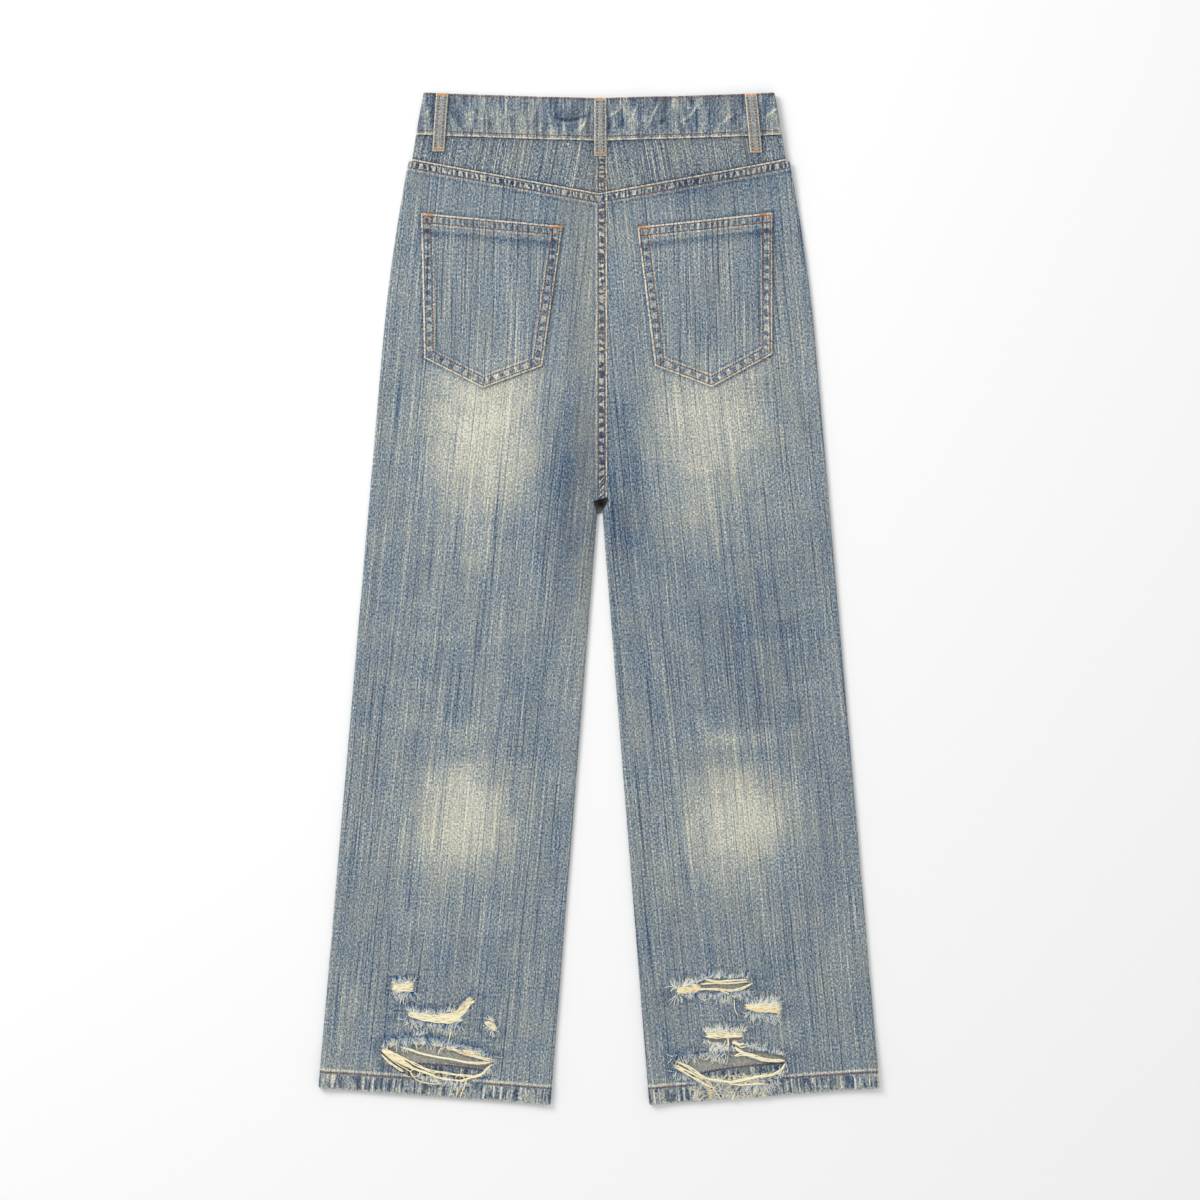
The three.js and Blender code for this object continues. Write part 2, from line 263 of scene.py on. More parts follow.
def crease(x, y, x0, y0, x1, y1, width, height):
    """A soft ridge along a straight line that fades out at both ends."""
    length = np.hypot(x1 - x0, y1 - y0)
    along = ((x - x0) * (x1 - x0) + (y - y0) * (y1 - y0)) / length
    across = ((x - x0) * (y1 - y0) - (y - y0) * (x1 - x0)) / length
    bow = 0.04 * length * np.sin(np.pi * np.clip(along / length, 0, 1))
    ends = smooth(along, 0, 0.3 * length) * (1 - smooth(along, 0.7 * length, length))
    return height * ends * bump(across, bow, width)


def creases(x, y):
    """All the creases of one side of the garment, with a broad unevenness between them."""
    total = 0.35 * hills(x, y, 70, 3) + 0.18 * hills(x, y, 26, 4)
    for line in WHISKERS:
        total = total + crease(x, y, *line)
        total = total + crease(-x, y + 9, *line)
    for line in FORK_FOLDS:
        total = total + crease(x, y, *line)
    return total


def rope(gap, run, seed, length=6.2):
    """Puckers between the two stitch rows: slanted ridges along the run of the seam."""
    wobble = 2.6 * cloud(run, 0 * run, 17, seed)
    wave = np.sin(2 * np.pi * (run + wobble + 0.35 * gap) / length)
    between = smooth(gap, 1.2, 3.2) * (1 - smooth(gap, 8.4, 11.0))
    return 0.3 * wave * between


def lapped_seam(gap, run, seed, rise=0.9):
    """Relief of a felled seam: a raised strip from its folded edge, with two stitched grooves."""
    strip = rise * (1 - smooth(gap, 9.8, 12.2)) * np.sqrt(np.clip(gap / 0.9, 0.05, 1))
    grooves = 0.28 * (bump(gap, ROW_ONE, 0.9) + bump(gap, ROW_TWO, 0.9))
    return np.where(gap < 14, strip - grooves + rope(gap, run, seed), 0)


print(len(WHISKERS), "whiskers on each leg and", len(FORK_FOLDS), "folds at the fork")

# %% [markdown]
# ## Making a mesh from arrays
#
# A mesh is filled straight from numpy arrays: points, faces of any number of corners, a flat
# map for the weave, and named values on the points that the materials read.

# %% Mesh maker


def make_piece(name, points, faces, materials, cloth=None, values=None):
    """A mesh object from points in millimetres and a list of face arrays, one per corner count."""
    points = np.asarray(points, dtype=np.float32).reshape(-1, 3)
    mesh = bpy.data.meshes.new(name)
    corners = np.concatenate([f.ravel() for f in faces]).astype(np.int32)
    totals = np.concatenate([np.full(len(f), f.shape[1]) for f in faces]).astype(np.int32)
    starts = np.concatenate([[0], np.cumsum(totals)[:-1]]).astype(np.int32)
    mesh.vertices.add(len(points))
    mesh.vertices.foreach_set("co", (points * MM).ravel())
    mesh.loops.add(len(corners))
    mesh.loops.foreach_set("vertex_index", corners)
    mesh.polygons.add(len(totals))
    mesh.polygons.foreach_set("loop_start", starts)
    mesh.polygons.foreach_set("loop_total", totals)
    mesh.polygons.foreach_set("use_smooth", np.ones(len(totals), dtype=bool))
    mesh.update(calc_edges=True)
    if cloth is not None:
        layer = mesh.uv_layers.new(name="cloth")
        layer.data.foreach_set("uv", (cloth.reshape(-1, 2)[corners] * MM).astype(np.float32).ravel())
    for key, value in (values or {}).items():
        attribute = mesh.attributes.new(key, "FLOAT", "POINT")
        spread = np.broadcast_to(value, points.shape[:1]) if np.ndim(value) == 0 else value
        attribute.data.foreach_set("value", np.asarray(spread, dtype=np.float32).ravel())
    for material in materials:
        mesh.materials.append(material)
    piece = bpy.data.objects.new(name, mesh)
    bpy.context.scene.collection.objects.link(piece)
    return piece


def grid_faces(rows, columns):
    """The quads of a grid of points, in the order of the points."""
    index = np.arange(rows * columns).reshape(rows, columns)
    quads = [index[:-1, :-1], index[:-1, 1:], index[1:, 1:], index[1:, :-1]]
    return np.stack(quads, -1).reshape(-1, 4)


def facing_way(points, quads, up):
    """The quads, turned over if most of them look away from up, which is 1 or -1."""
    a, b, c = (points[quads[:, k]] for k in range(3))
    looks_up = np.cross(b - a, c - a)[:, 2].sum() > 0
    return quads if looks_up == (up > 0) else quads[:, ::-1]


# %% [markdown]
# ## A sheet of cloth
#
# A sheet is a grid. Its courses run across from one edge to the other and follow the seam at
# the top and the hem at the bottom. Where an edge is rolled round the side, its last columns
# turn down a quarter circle to the seam at half height. Rows with a depth lie under the outside
# face, so the same grid can fold a hem up inside.

# %% Rows and columns of a sheet


def spaced(low, high, step):
    """Evenly spaced numbers from low to high, about step apart."""
    return np.linspace(low, high, max(2, int(round(abs(high - low) / step)) + 1))


def sheet_rows(share, offset, depth=0.0):
    """Rows as share of the way down, offset and depth under the outside face."""
    share, offset = np.broadcast_arrays(np.asarray(share, float), np.asarray(offset, float))
    return np.stack([share, offset, np.broadcast_to(depth, share.shape)])


def edge_columns(rolled, reach, step):
    """Distances in from an edge: the turn of a rolled edge first, then steps up to reach."""
    turn = np.radians(np.linspace(0, 90, 7)) if rolled else np.array([np.pi / 2])
    near = ROLL * (1 - np.cos(turn)) if rolled else np.array([0.0])
    rest = spaced(near[-1], reach, step)[1:] if reach > near[-1] else np.array([])
    angle = np.concatenate([turn, np.full(len(rest), np.pi / 2)])
    return np.concatenate([near, rest]), angle


def sheet_columns(width, step, start_rolls, finish_rolls, start_reach=0.0, fine=1.0):
    """Columns as share of the way across, offset, angle of the turn, and 1 at the start's side."""
    near, near_angle = edge_columns(start_rolls, start_reach, fine)
    far, far_angle = edge_columns(finish_rolls, 0.0, fine)
    count = max(3, int((width - near[-1] - far[-1]) / step))
    share = np.linspace(0, 1, count + 1)[1:-1]
    middle = np.stack(
        [share, mix(near[-1], -far[-1], share), np.full(len(share), np.pi / 2), 0 * share]
    )
    start = np.stack([0 * near, near, near_angle, 0 * near + 1])
    finish = np.stack([0 * far + 1, -far, far_angle, 0 * far])[:, ::-1]
    return np.concatenate([start, middle, finish], axis=1)


def never(y):
    """An edge that doesn't roll."""
    return 0 * y


def always(y):
    """An edge that rolls all along."""
    return 0 * y + 1


def lay_sheet(
    rows, columns, top, bottom, start, finish, outside, middle=None, up=1, rolls=(never, always)
):
    """Points of a sheet, (rows, columns, 3).

    A course is the line share * bottom + (1 - share) * top, moved by the row's offset. A column
    stands at a share of the way between the edges, moved by its offset. The height is that of
    the outside face less the row's depth, drawn towards the half height by 1 - sin(angle)."""
    share, offset, depth = (part[:, None] for part in rows)
    across, shift, angle, at_start = (part[None, :] for part in columns)

    def course(x):
        return mix(top(x), bottom(x), share) + offset

    def crossing(edge):
        x = edge(course(np.zeros_like(share)))
        for _ in range(10):
            x = edge(course(x))
        return x

    x0, x1 = crossing(start), crossing(finish)
    way = np.sign(x1 - x0)
    roll = np.where(at_start > 0, rolls[0](course(x0)), rolls[1](course(x1)))
    inwards = np.where(at_start > 0, way, -way)
    x = mix(x0, x1, across) + way * shift + inwards * depth * roll * np.cos(angle)
    y = course(x)
    face = outside(x, y) - up * depth
    drop = roll * (1 - np.sin(angle))
    seam = face if middle is None else middle(x, y) + up * GAP / 2
    return np.stack([x, y, mix(face, seam, drop)], axis=-1)


def sheet_mesh(rows, columns, *edges, up=1, **options):
    """The points of a sheet in one list, and its quads facing up or down."""
    points = lay_sheet(rows, columns, *edges, up=up, **options)
    flat = points.reshape(-1, 3)
    return flat, facing_way(flat, grid_faces(*points.shape[:2]), up)


print("a back leg has", sheet_columns(212, 2.65, True, True, 13.0).shape[1], "columns")

# %% [markdown]
# ## Where the cloth is torn
#
# The rips are places where the warp has worn through. Each is two half ellipses round a chord,
# with a ragged edge. The faces inside are taken away, and the points next to the edge are moved
# onto it, so that the tear has a clean line for the loose threads to hang from.

# %% The rips
# centre x, centre y, half length, height above the chord, height below it, tilt in degrees
RIPS = {
    -1: [
        (-164.7, -464.3, 57.0, 9.2, 27.0, -4.5), (-200.4, -394.7, 10.5, 3.4, 3.4, 2.0),
        (-168.5, -425.0, 28.5, 4.2, 4.2, -5.0), (-132.4, -413.8, 9.5, 2.8, 2.8, 52.0),
        (-112.2, -437.0, 7.5, 2.6, 2.6, -42.0),
    ],
    1: [
        (134.4, -471.0, 57.8, 11.0, 21.0, 0.0), (127.5, -393.7, 24.5, 3.6, 3.8, 3.0),
        (90.0, -401.0, 13.0, 2.6, 2.6, 14.0), (167.3, -417.7, 18.0, 3.8, 3.8, -4.0),
        (129.0, -447.0, 17.0, 4.2, 4.6, 1.0),
    ],
}


def rip_distance(x, y, rip):
    """Roughly how far outside the rip's edge a point lies, in millimetres; negative inside."""
    cx, cy, half, above, below, tilt = rip
    c, s = np.cos(np.radians(tilt)), np.sin(np.radians(tilt))
    u = ((x - cx) * c + (y - cy) * s) / half
    v = -(x - cx) * s + (y - cy) * c
    height = np.where(v > 0, above, below)
    v = v / height
    radius = np.hypot(u, v) + 1e-6
    ragged = 0.8 * hills(x, y, 3.4, 11) + 0.6 * hills(x, y, 9, 12)
    slope = np.hypot(u / half, v / height) / radius
    return (radius - 1) / np.maximum(slope, 1e-4) + ragged


def nearest_rip(x, y, side):
    """Distance outside the nearest rip of one leg."""
    return np.min([rip_distance(x, y, rip) for rip in RIPS[side]], axis=0)


def tear(points, quads, side):
    """Moves points near a rip's edge onto it and drops the quads inside."""
    x, y = points[:, 0], points[:, 1]
    step, reach = 0.2, 1.3
    gap = nearest_rip(x, y, side)
    gx = (nearest_rip(x + step, y, side) - gap) / step
    gy = (nearest_rip(x, y + step, side) - gap) / step
    size = np.maximum(gx**2 + gy**2, 0.2)
    near = np.abs(gap) < reach
    points[near, 0] -= (gap * gx / size)[near]
    points[near, 1] -= (gap * gy / size)[near]
    middle = points[quads].mean(axis=1)
    return points, quads[nearest_rip(middle[:, 0], middle[:, 1], side) > -0.1]


print("rips on each leg:", [len(rips) for rips in RIPS.values()])

# %% [markdown]
# ## Materials: a small helper
#
# Materials are node trees. `feed` adds one node, sets its options and fills its inputs: a socket
# is linked, anything else is set. Effects that several materials use are groups.

# %% Node helpers


def feed(tree, kind, inputs=None, **options):
    """Adds a node to a tree and returns its first output socket, or the node if it has none."""
    node = tree.nodes.new(kind)
    for key, value in options.items():
        setattr(node, key, value)
    for key, value in (inputs or {}).items():
        socket = node.inputs[key]
        if isinstance(value, bpy.types.NodeSocket):
            tree.links.new(value, socket)
        else:
            socket.default_value = value
    return node.outputs[0] if len(node.outputs) else node


def maths(tree, operation, *values):
    """One sum on sockets or numbers."""
    return feed(tree, "ShaderNodeMath", dict(enumerate(values)), operation=operation)


def plus(tree, value, extra):
    """value + extra."""
    return maths(tree, "ADD", value, extra)


def times(tree, value, factor, extra=None):
    """value * factor, and + extra if there is one."""
    if extra is None:
        return maths(tree, "MULTIPLY", value, factor)
    return maths(tree, "MULTIPLY_ADD", value, factor, extra)


def span(tree, value, low, high, to_low=0.0, to_high=1.0):
    """An S-curved step of value from low to high."""
    inputs = {"Value": value, 1: low, 2: high, 3: to_low, 4: to_high}
    return feed(tree, "ShaderNodeMapRange", inputs, interpolation_type="SMOOTHSTEP")


def ridge(tree, value, centre, width):
    """1 at centre, falling in S curves to 0 at a width on both sides."""
    off = maths(tree, "ABSOLUTE", maths(tree, "SUBTRACT", value, centre))
    return span(tree, off, 0.0, width, 1.0, 0.0)


def noise(tree, vector, scale, detail=2.0, roughness=0.5, **options):
    """Perlin noise moved to run from about -1 to 1."""
    stretched = feed(tree, "ShaderNodeVectorMath", {0: vector, 1: scale}, operation="MULTIPLY")
    inputs = {"Vector": stretched, "Scale": 1.0, "Detail": detail, "Roughness": roughness}
    raw = feed(tree, "ShaderNodeTexNoise", inputs, **options)
    return times(tree, raw, 3.2, -1.6)


def flat_noise(tree, vector, scale, detail=1.0, roughness=0.5):
    """The same in the plane of the cloth, with a scale across the yarns and one along them."""
    return noise(tree, vector, (*scale, 0), detail, roughness, noise_dimensions="2D")


def blend(tree, share, first, second):
    """The first colour where share is 0 and the second where it is 1."""
    inputs = {"Factor": share, 6: first, 7: second}
    return feed(tree, "ShaderNodeMix", inputs, data_type="RGBA").node.outputs[2]


def value_of(tree, name):
    """A named value on the points."""
    node = feed(tree, "ShaderNodeAttribute", attribute_name=name, attribute_type="GEOMETRY").node
    return node.outputs["Fac"]


def new_material(name, roughness, specular):
    """A material with its shader's two constants set, its tree and its shader."""
    material = bpy.data.materials.new(name)
    material.use_nodes = True
    bsdf = material.node_tree.nodes["Principled BSDF"]
    bsdf.inputs["Roughness"].default_value = roughness
    bsdf.inputs["Specular IOR Level"].default_value = specular
    return material, material.node_tree, bsdf


def dress(tree, bsdf, colour, height, strength, distance):
    """Gives the shader its colour and its fine relief."""
    tree.links.new(colour, bsdf.inputs["Base Color"])
    inputs = {"Strength": strength, "Distance": distance, "Height": height}
    tree.links.new(feed(tree, "ShaderNodeBump", inputs), bsdf.inputs["Normal"])


def new_group(name, inputs, outputs):
    """An empty shader group with named sockets, and its input and output nodes."""
    tree = bpy.data.node_groups.new(name, "ShaderNodeTree")
    for label, kind, value in inputs:
        socket = tree.interface.new_socket(label, in_out="INPUT", socket_type=kind)
        if value is not None:
            socket.default_value = value
    for label, kind in outputs:
        tree.interface.new_socket(label, in_out="OUTPUT", socket_type=kind)
    return tree, tree.nodes.new("NodeGroupInput").outputs, tree.nodes.new("NodeGroupOutput").inputs


def use_group(tree, group, inputs):
    """Places a group in a tree and returns its output sockets."""
    node = tree.nodes.new("ShaderNodeGroup")
    node.node_tree = group
    for key, value in inputs.items():
        if isinstance(value, bpy.types.NodeSocket):
            tree.links.new(value, node.inputs[key])
        else:
            node.inputs[key].default_value = value
    return node.outputs


FLOAT, VECTOR, COLOUR = "NodeSocketFloat", "NodeSocketVector", "NodeSocketColor"


def srgb(r, g, b):
    """A colour from 0 to 255 as the linear values that shaders use."""
    c = np.array([r, g, b]) / 255
    linear = np.where(c <= 0.04045, c / 12.92, ((c + 0.055) / 1.055) ** 2.4)
    return (*linear.tolist(), 1.0)


print("bare cotton is", [round(c, 2) for c in srgb(238, 233, 212)])

# %% [markdown]
# ## Slub grain
#
# The warp yarns of this denim are uneven. Their thick places lie on top, lose their dye first
# and show as short pale streaks along the leg, each about a millimetre wide. Three noises
# stretched along the yarn give fine streaks, longer slubs and the salt and pepper of the twill.

# %% Group: slub grain
SLUB, slub_in, slub_out = new_group(
    "slub grain",
    [
        ("Cloth", VECTOR, None), ("Speckle", FLOAT, 0.5), ("Slubs", FLOAT, 0.4), ("Lines", FLOAT, 1.0),
    ],
    [("Grain", FLOAT), ("Tint", FLOAT)],
)
wander = flat_noise(SLUB, slub_in["Cloth"], (12, 9))
phase = flat_noise(SLUB, slub_in["Cloth"], (150, 0))
parts = feed(SLUB, "ShaderNodeSeparateXYZ", {"Vector": slub_in["Cloth"]}).node.outputs
bent = feed(
    SLUB, "ShaderNodeCombineXYZ",
    {"X": times(SLUB, wander, 0.0008, parts["X"]), "Y": times(SLUB, phase, 0.25, parts["Y"])},
)
speckle = flat_noise(SLUB, slub_in["Cloth"], (620, 430), 2.0, 0.8)
slubs = flat_noise(SLUB, slub_in["Cloth"], (480, 30), 2.0, 0.5)
ribs = flat_noise(SLUB, bent, (610, 6.5))
lines = times(SLUB, ribs, times(SLUB, ribs, ribs))
lines = maths(SLUB, "MAXIMUM", maths(SLUB, "MINIMUM", lines, 0.3), -0.46)
streaks = times(SLUB, speckle, slub_in["Speckle"])
streaks = times(SLUB, slubs, slub_in["Slubs"], streaks)
streaks = times(SLUB, lines, slub_in["Lines"], streaks)
SLUB.links.new(streaks, slub_out["Grain"])
tint = flat_noise(SLUB, slub_in["Cloth"], (500, 300), 2.0, 0.7)
cast = flat_noise(SLUB, slub_in["Cloth"], (34, 20), 3.0, 0.6)
SLUB.links.new(times(SLUB, cast, 0.8, tint), slub_out["Tint"])
print("group:", SLUB.name)

# %% [markdown]
# ## Indigo
#
# Indigo sits on the outside of the yarn, so wear takes it off in one order: navy, mid blue,
# grey blue and at last the cream of the bare cotton. One value, the bleach, picks the place on
# that scale, and every kind of wear only adds to it or takes from it.

# %% Group: indigo
INDIGO, indigo_in, indigo_out = new_group(
    "indigo", [("Bleach", FLOAT, 0.5), ("Dust", FLOAT, 0.0)], [("Colour", COLOUR)]
)
ramp = INDIGO.nodes.new("ShaderNodeValToRGB")
INDIGO.links.new(indigo_in["Bleach"], ramp.inputs[0])
STOPS = [
    (0.0, srgb(18, 42, 76)), (0.25, srgb(68, 98, 129)), (0.5, srgb(125, 141, 154)),
    (0.75, srgb(178, 181, 173)), (1.0, srgb(238, 233, 212)),
]
while len(ramp.color_ramp.elements) < len(STOPS):
    ramp.color_ramp.elements.new(0.5)
for element, (position, colour) in zip(ramp.color_ramp.elements, STOPS):
    element.position = position
    element.color = colour
DUST_COLOUR = srgb(172, 162, 130)
dusty = blend(INDIGO, indigo_in["Dust"], ramp.outputs[0], DUST_COLOUR)
INDIGO.links.new(dusty, indigo_out["Colour"])
print("group:", INDIGO.name, "with", len(STOPS), "stops")

# %% [markdown]
# ## Wear along stitched edges
#
# A folded edge rubs through to cream, the stitches pull a dark groove, and between the two rows
# the puckers turn into pale and navy blocks. The pieces carry two values for this: the gap from
# the edge and the run along it, both in millimetres.

# %% Group: worn edge
EDGE, edge_in, edge_out = new_group(
    "worn edge",
    [
        ("Gap", FLOAT, 20.0), ("Run", FLOAT, 0.0), ("Row one", FLOAT, ROW_ONE),
        ("Row two", FLOAT, ROW_TWO), ("Ladder", FLOAT, 0.3), ("Pitch", FLOAT, 5.6), ("Rub", FLOAT, 0.4),
    ],
    [("Bleach", FLOAT), ("Height", FLOAT)],
)
gap, run = edge_in["Gap"], edge_in["Run"]
slow = feed(
    EDGE, "ShaderNodeCombineXYZ", {"X": times(EDGE, run, 0.11), "Y": times(EDGE, gap, 0.05)}
)
drift = flat_noise(EDGE, slow, (1, 1), 2.0, 0.6)
turns = maths(EDGE, "DIVIDE", times(EDGE, drift, 3.4, run), edge_in["Pitch"])
wave = maths(EDGE, "SINE", times(EDGE, turns, 2 * np.pi))
wave = span(EDGE, wave, -0.35, 0.6, -1.1, 0.7)
uneven = flat_noise(EDGE, slow, (2.6, 3))
wave = times(EDGE, wave, span(EDGE, uneven, -1.0, 0.6, 0.25, 1.25))
row_one, row_two = edge_in["Row one"], edge_in["Row two"]
inside = times(
    EDGE,
    span(EDGE, gap, plus(EDGE, row_one, 0.5), plus(EDGE, row_one, 1.7)),
    span(EDGE, gap, plus(EDGE, row_two, -1.6), plus(EDGE, row_two, -0.4), 1.0, 0.0),
)
ladder = times(EDGE, wave, inside)
bleach = times(EDGE, ladder, edge_in["Ladder"])
worn_fold = times(EDGE, span(EDGE, gap, 1.0, 2.0, 1.0, 0.0), edge_in["Rub"])
worn_fold = times(EDGE, worn_fold, span(EDGE, uneven, -0.7, 0.4, 0.45, 1.1))
bleach = plus(EDGE, bleach, worn_fold)
for offset, width, amount in ((1.2, 1.2, 0.08), (-1.0, 1.0, 0.06)):
    beside = ridge(EDGE, gap, plus(EDGE, row_one, offset), width)
    bleach = times(EDGE, beside, amount, bleach)
# The last of these, a dark line 4.4 mm past the second row, is painted shadow from the edge of the seam
# allowance.
for offset, width, amount in ((-1.5, 1.1, 0.06), (1.6, 1.5, 0.2), (4.4, 1.8, -0.14)):
    beside = ridge(EDGE, gap, plus(EDGE, row_two, offset), width)
    bleach = times(EDGE, beside, amount, bleach)
grooves = plus(EDGE, ridge(EDGE, gap, row_one, 1.0), ridge(EDGE, gap, row_two, 1.0))
bleach = times(EDGE, grooves, -0.18, bleach)
EDGE.links.new(bleach, edge_out["Bleach"])
EDGE.links.new(times(EDGE, grooves, -0.6, ladder), edge_out["Height"])
print("group:", EDGE.name)

# %% [markdown]
# ## The roped hem
#
# A hem is turned up by a folder that drags the upper layer along, so after washing it twists
# like a rope. Its high places wear pale and its low ones stay navy, in blots and thin stripes
# across the band. Above the stitches the leg is rubbed against the hem's thick edge.

# %% Group: roped hem
HEMMED, hem_in, hem_out = new_group(
    "roped hem", [("Cloth", VECTOR, None), ("Rise", FLOAT, 60.0)], [("Bleach", FLOAT)]
)
rise = hem_in["Rise"]
blots = flat_noise(HEMMED, hem_in["Cloth"], (190, 44))
stripes = flat_noise(HEMMED, hem_in["Cloth"], (290, 14))
low_edge, high_edge = span(HEMMED, rise, 1.0, 3.0), span(HEMMED, rise, 14.6, 16.0, 1.0, 0.0)
band = times(HEMMED, low_edge, high_edge)
inked = times(HEMMED, span(HEMMED, blots, -0.1, 0.3, 0.09, -0.28), band, 0.0)
pale_stripes = times(HEMMED, span(HEMMED, stripes, 0.1, 0.4), 0.36)
inked = times(HEMMED, pale_stripes, band, inked)
for height, width, amount in ((HEM_BAND + 2.6, 2.2, 0.4), (HEM_BAND, 1.4, -0.2)):
    inked = times(HEMMED, ridge(HEMMED, rise, height, width), amount, inked)
inked = times(HEMMED, span(HEMMED, rise, 0.8, 2.6, 0.28, 0.0), 1.0, inked)
HEMMED.links.new(inked, hem_out["Bleach"])
print("groups:", [group.name for group in bpy.data.node_groups])

# %% [markdown]
# ## Denim
#
# The denim material puts the groups together. Level is how washed the piece is all over, the
# fade and shade values painted on the points are the worn seat, knees and creases, and the
# grain is weaker where the cloth is bleached because there is little dye left to vary.

# %% Material: denim


SPECKLE = 1.15
DUST = 0.15


def denim(
    name, level, grain=0.46, slubs=0.15, lines=1.55, ladder=0.42, pitch=5.6, rub=0.48, hem=False,
    rows=(ROW_ONE, ROW_TWO),
):
    """A washed slub denim that reads the cloth map and the wear values on the points."""
    material, tree, bsdf = new_material(name, 0.92, 0.15)
    cloth = feed(tree, "ShaderNodeUVMap", uv_map="cloth")
    slub = use_group(
        tree, SLUB, {"Cloth": cloth, "Speckle": SPECKLE, "Slubs": slubs, "Lines": lines}
    )
    fade = value_of(tree, "fade")
    strength = span(tree, fade, 0.0, 0.5, grain, grain * 0.75)
    bleach = times(tree, slub["Grain"], strength, level)
    bleach = plus(tree, bleach, fade)
    bleach = plus(tree, bleach, value_of(tree, "shade"))
    wear = {
        "Gap": value_of(tree, "gap"), "Run": value_of(tree, "run"), "Row one": rows[0],
        "Row two": rows[1], "Ladder": ladder, "Pitch": pitch, "Rub": rub,
    }
    worn = use_group(tree, EDGE, wear)
    bleach = plus(tree, bleach, worn["Bleach"])
    height = times(tree, worn["Height"], 0.8, slub["Grain"])
    if hem:
        roped = use_group(tree, HEMMED, {"Cloth": cloth, "Rise": value_of(tree, "rise")})
        bleach = plus(tree, bleach, roped["Bleach"])
    dusty = span(tree, slub["Tint"], -1.2, 1.6, 0.0, DUST * 2)
    dusty = plus(tree, dusty, value_of(tree, "dust"))
    colour = use_group(tree, INDIGO, {"Bleach": bleach, "Dust": dusty})["Colour"]
    dress(tree, bsdf, colour, height, 0.5, 0.0005)
    bsdf.inputs["Sheen Weight"].default_value = 0.08
    bsdf.inputs["Sheen Roughness"].default_value = 0.5
    return material


LEG_DENIM = denim("leg denim", 0.475, hem=True)
YOKE_DENIM = denim("yoke denim", 0.405, grain=0.6, lines=2.1, slubs=0.25)
BAND_DENIM = denim("waistband denim", 0.372, slubs=0.5, lines=0.8, ladder=0.0, rows=(4.2, 60.0))
POCKET_DENIM = denim("pocket denim", 0.465, lines=2.0, ladder=0.24, pitch=10.5)
LOOP_DENIM = denim("belt loop denim", 0.56, grain=0.34, slubs=0.2, lines=0.3, ladder=0.04, rub=0.34)
print("denims:", [m.name for m in bpy.data.materials if "denim" in m.name])

# %% [markdown]
# ## The wrong side
#
# Inside the legs the undyed weft shows: grey, with fine slanting twill lines.

# %% Material: wrong side


def wrong_side():
    """Grey weft over a little indigo, with twill lines a radian round, and painted shadow deep in the
    fork.
    """
    material, tree, bsdf = new_material("wrong side of denim", 0.95, 0.1)
    cloth = feed(tree, "ShaderNodeUVMap", uv_map="cloth")
    inputs = {"Vector": cloth, "Angle": 1.0}
    turned = feed(tree, "ShaderNodeVectorRotate", inputs, rotation_type="Z_AXIS")
    twill = flat_noise(tree, turned, (1300, 330))
    yarn = flat_noise(tree, cloth, (420, 620), 2.0, 0.7)
    share = span(tree, times(tree, yarn, 0.7, twill), -1.3, 1.3)
    grey = blend(tree, share, srgb(116, 120, 122), srgb(196, 193, 180))
    # Painted shadow: by the "dark" value on the points the cloth turns near black deep in the fork.
    shaded = blend(tree, value_of(tree, "dark"), grey, srgb(14, 14, 17))
    dress(tree, bsdf, shaded, twill, 0.4, 0.0004)
    return material


WRONG_SIDE = wrong_side()
print("material:", WRONG_SIDE.name)

# %% [markdown]
# ## Thread
#
# Sewing thread, loose weft and frayed warp are all yarn: a base colour that varies from one
# thread to the next, and a fine twist along it. Each thread mesh carries a tone from 0 to 1.

# %% Material: thread


def thread(name, dark, light, wave=0.16):
    """A twisted yarn between two colours, by the tone on the points and a fine wave along it."""
    material, tree, bsdf = new_material(name, 0.8, 0.2)
    place = feed(tree, "ShaderNodeTexCoord").node.outputs["Object"]
    strand = noise(tree, place, (900.0, 900.0, 900.0), 2.0, 0.6)
    share = times(tree, strand, wave, value_of(tree, "tone"))
    dress(tree, bsdf, blend(tree, share, dark, light), strand, 0.35, 0.0002)
    return material


COPPER = thread("copper thread", srgb(92, 50, 30), srgb(176, 104, 60))
ORANGE = thread("orange bar tack thread", srgb(206, 118, 40), srgb(246, 172, 90))
WEFT = thread("bare weft", srgb(250, 220, 152), srgb(255, 252, 228))
FRAY = thread("frayed warp", srgb(20, 96, 150), srgb(255, 254, 238), wave=0.05)
print("threads:", [m.name for m in (COPPER, ORANGE, WEFT, FRAY)])

# %% [markdown]
# ## Painting the wear
#
# The seat and the backs of the knees are sanded almost to cream, the inner thighs stay dark,
# and the cloth round the rips is a little bluer and darker, partly painted shadow under the
# fringes. These are smooth patches, so they are worked out on the points as one value, the fade,
# and one for small lights and darks, the shade.

# %% Fades
# centre x, centre y, half width, half height, strength
FADES = [
    (-114, 204, 62, 76, 0.22), (-116, 146, 60, 84, 0.19), (110, 208, 66, 72, 0.17),
    (108, 150, 56, 86, 0.16), (-143, -226, 50, 62, 0.25), (-130, -208, 44, 60, 0.11),
    (141, -230, 52, 60, 0.25), (144, -206, 50, 62, 0.12),
]
DARKS = [
    (-32, 120, 28, 110, -0.26), (28, 120, 26, 110, -0.21), (110, -40, 80, 110, -0.05),
    (95, 428, 75, 26, -0.16), (-100, 428, 90, 40, -0.05), (-190, -60, 60, 90, -0.02),
    (170, -60, 70, 100, -0.08), (150, -144, 60, 9, 0.03), (-150, -160, 110, 12, -0.04),
    (150, -162, 110, 12, -0.04), (-150, -350, 130, 60, -0.02), (150, -360, 130, 60, -0.02),
    (150, 330, 70, 60, 0.01),
]


def fade_at(x, y):
    """Ragged bells: e to the minus 0.9 times the 2.6th power of the distance in half widths."""
    rough = 0.13 * hills(x, y, 14, 21) + 0.08 * hills(x, y, 5, 22)
    total = 0 * x
    for cx, cy, half_width, half_height, strength in FADES:
        far = np.hypot((x - cx) / half_width, (y - cy) / half_height) + rough
        total = total + strength * np.exp(-np.maximum(far, 0) ** 2.6 * 0.9)
    return total


def fork_folds(x, y):
    """The small folds that the seams pull round the fork."""
    return sum(crease(x, y, *line) for line in FORK_FOLDS)


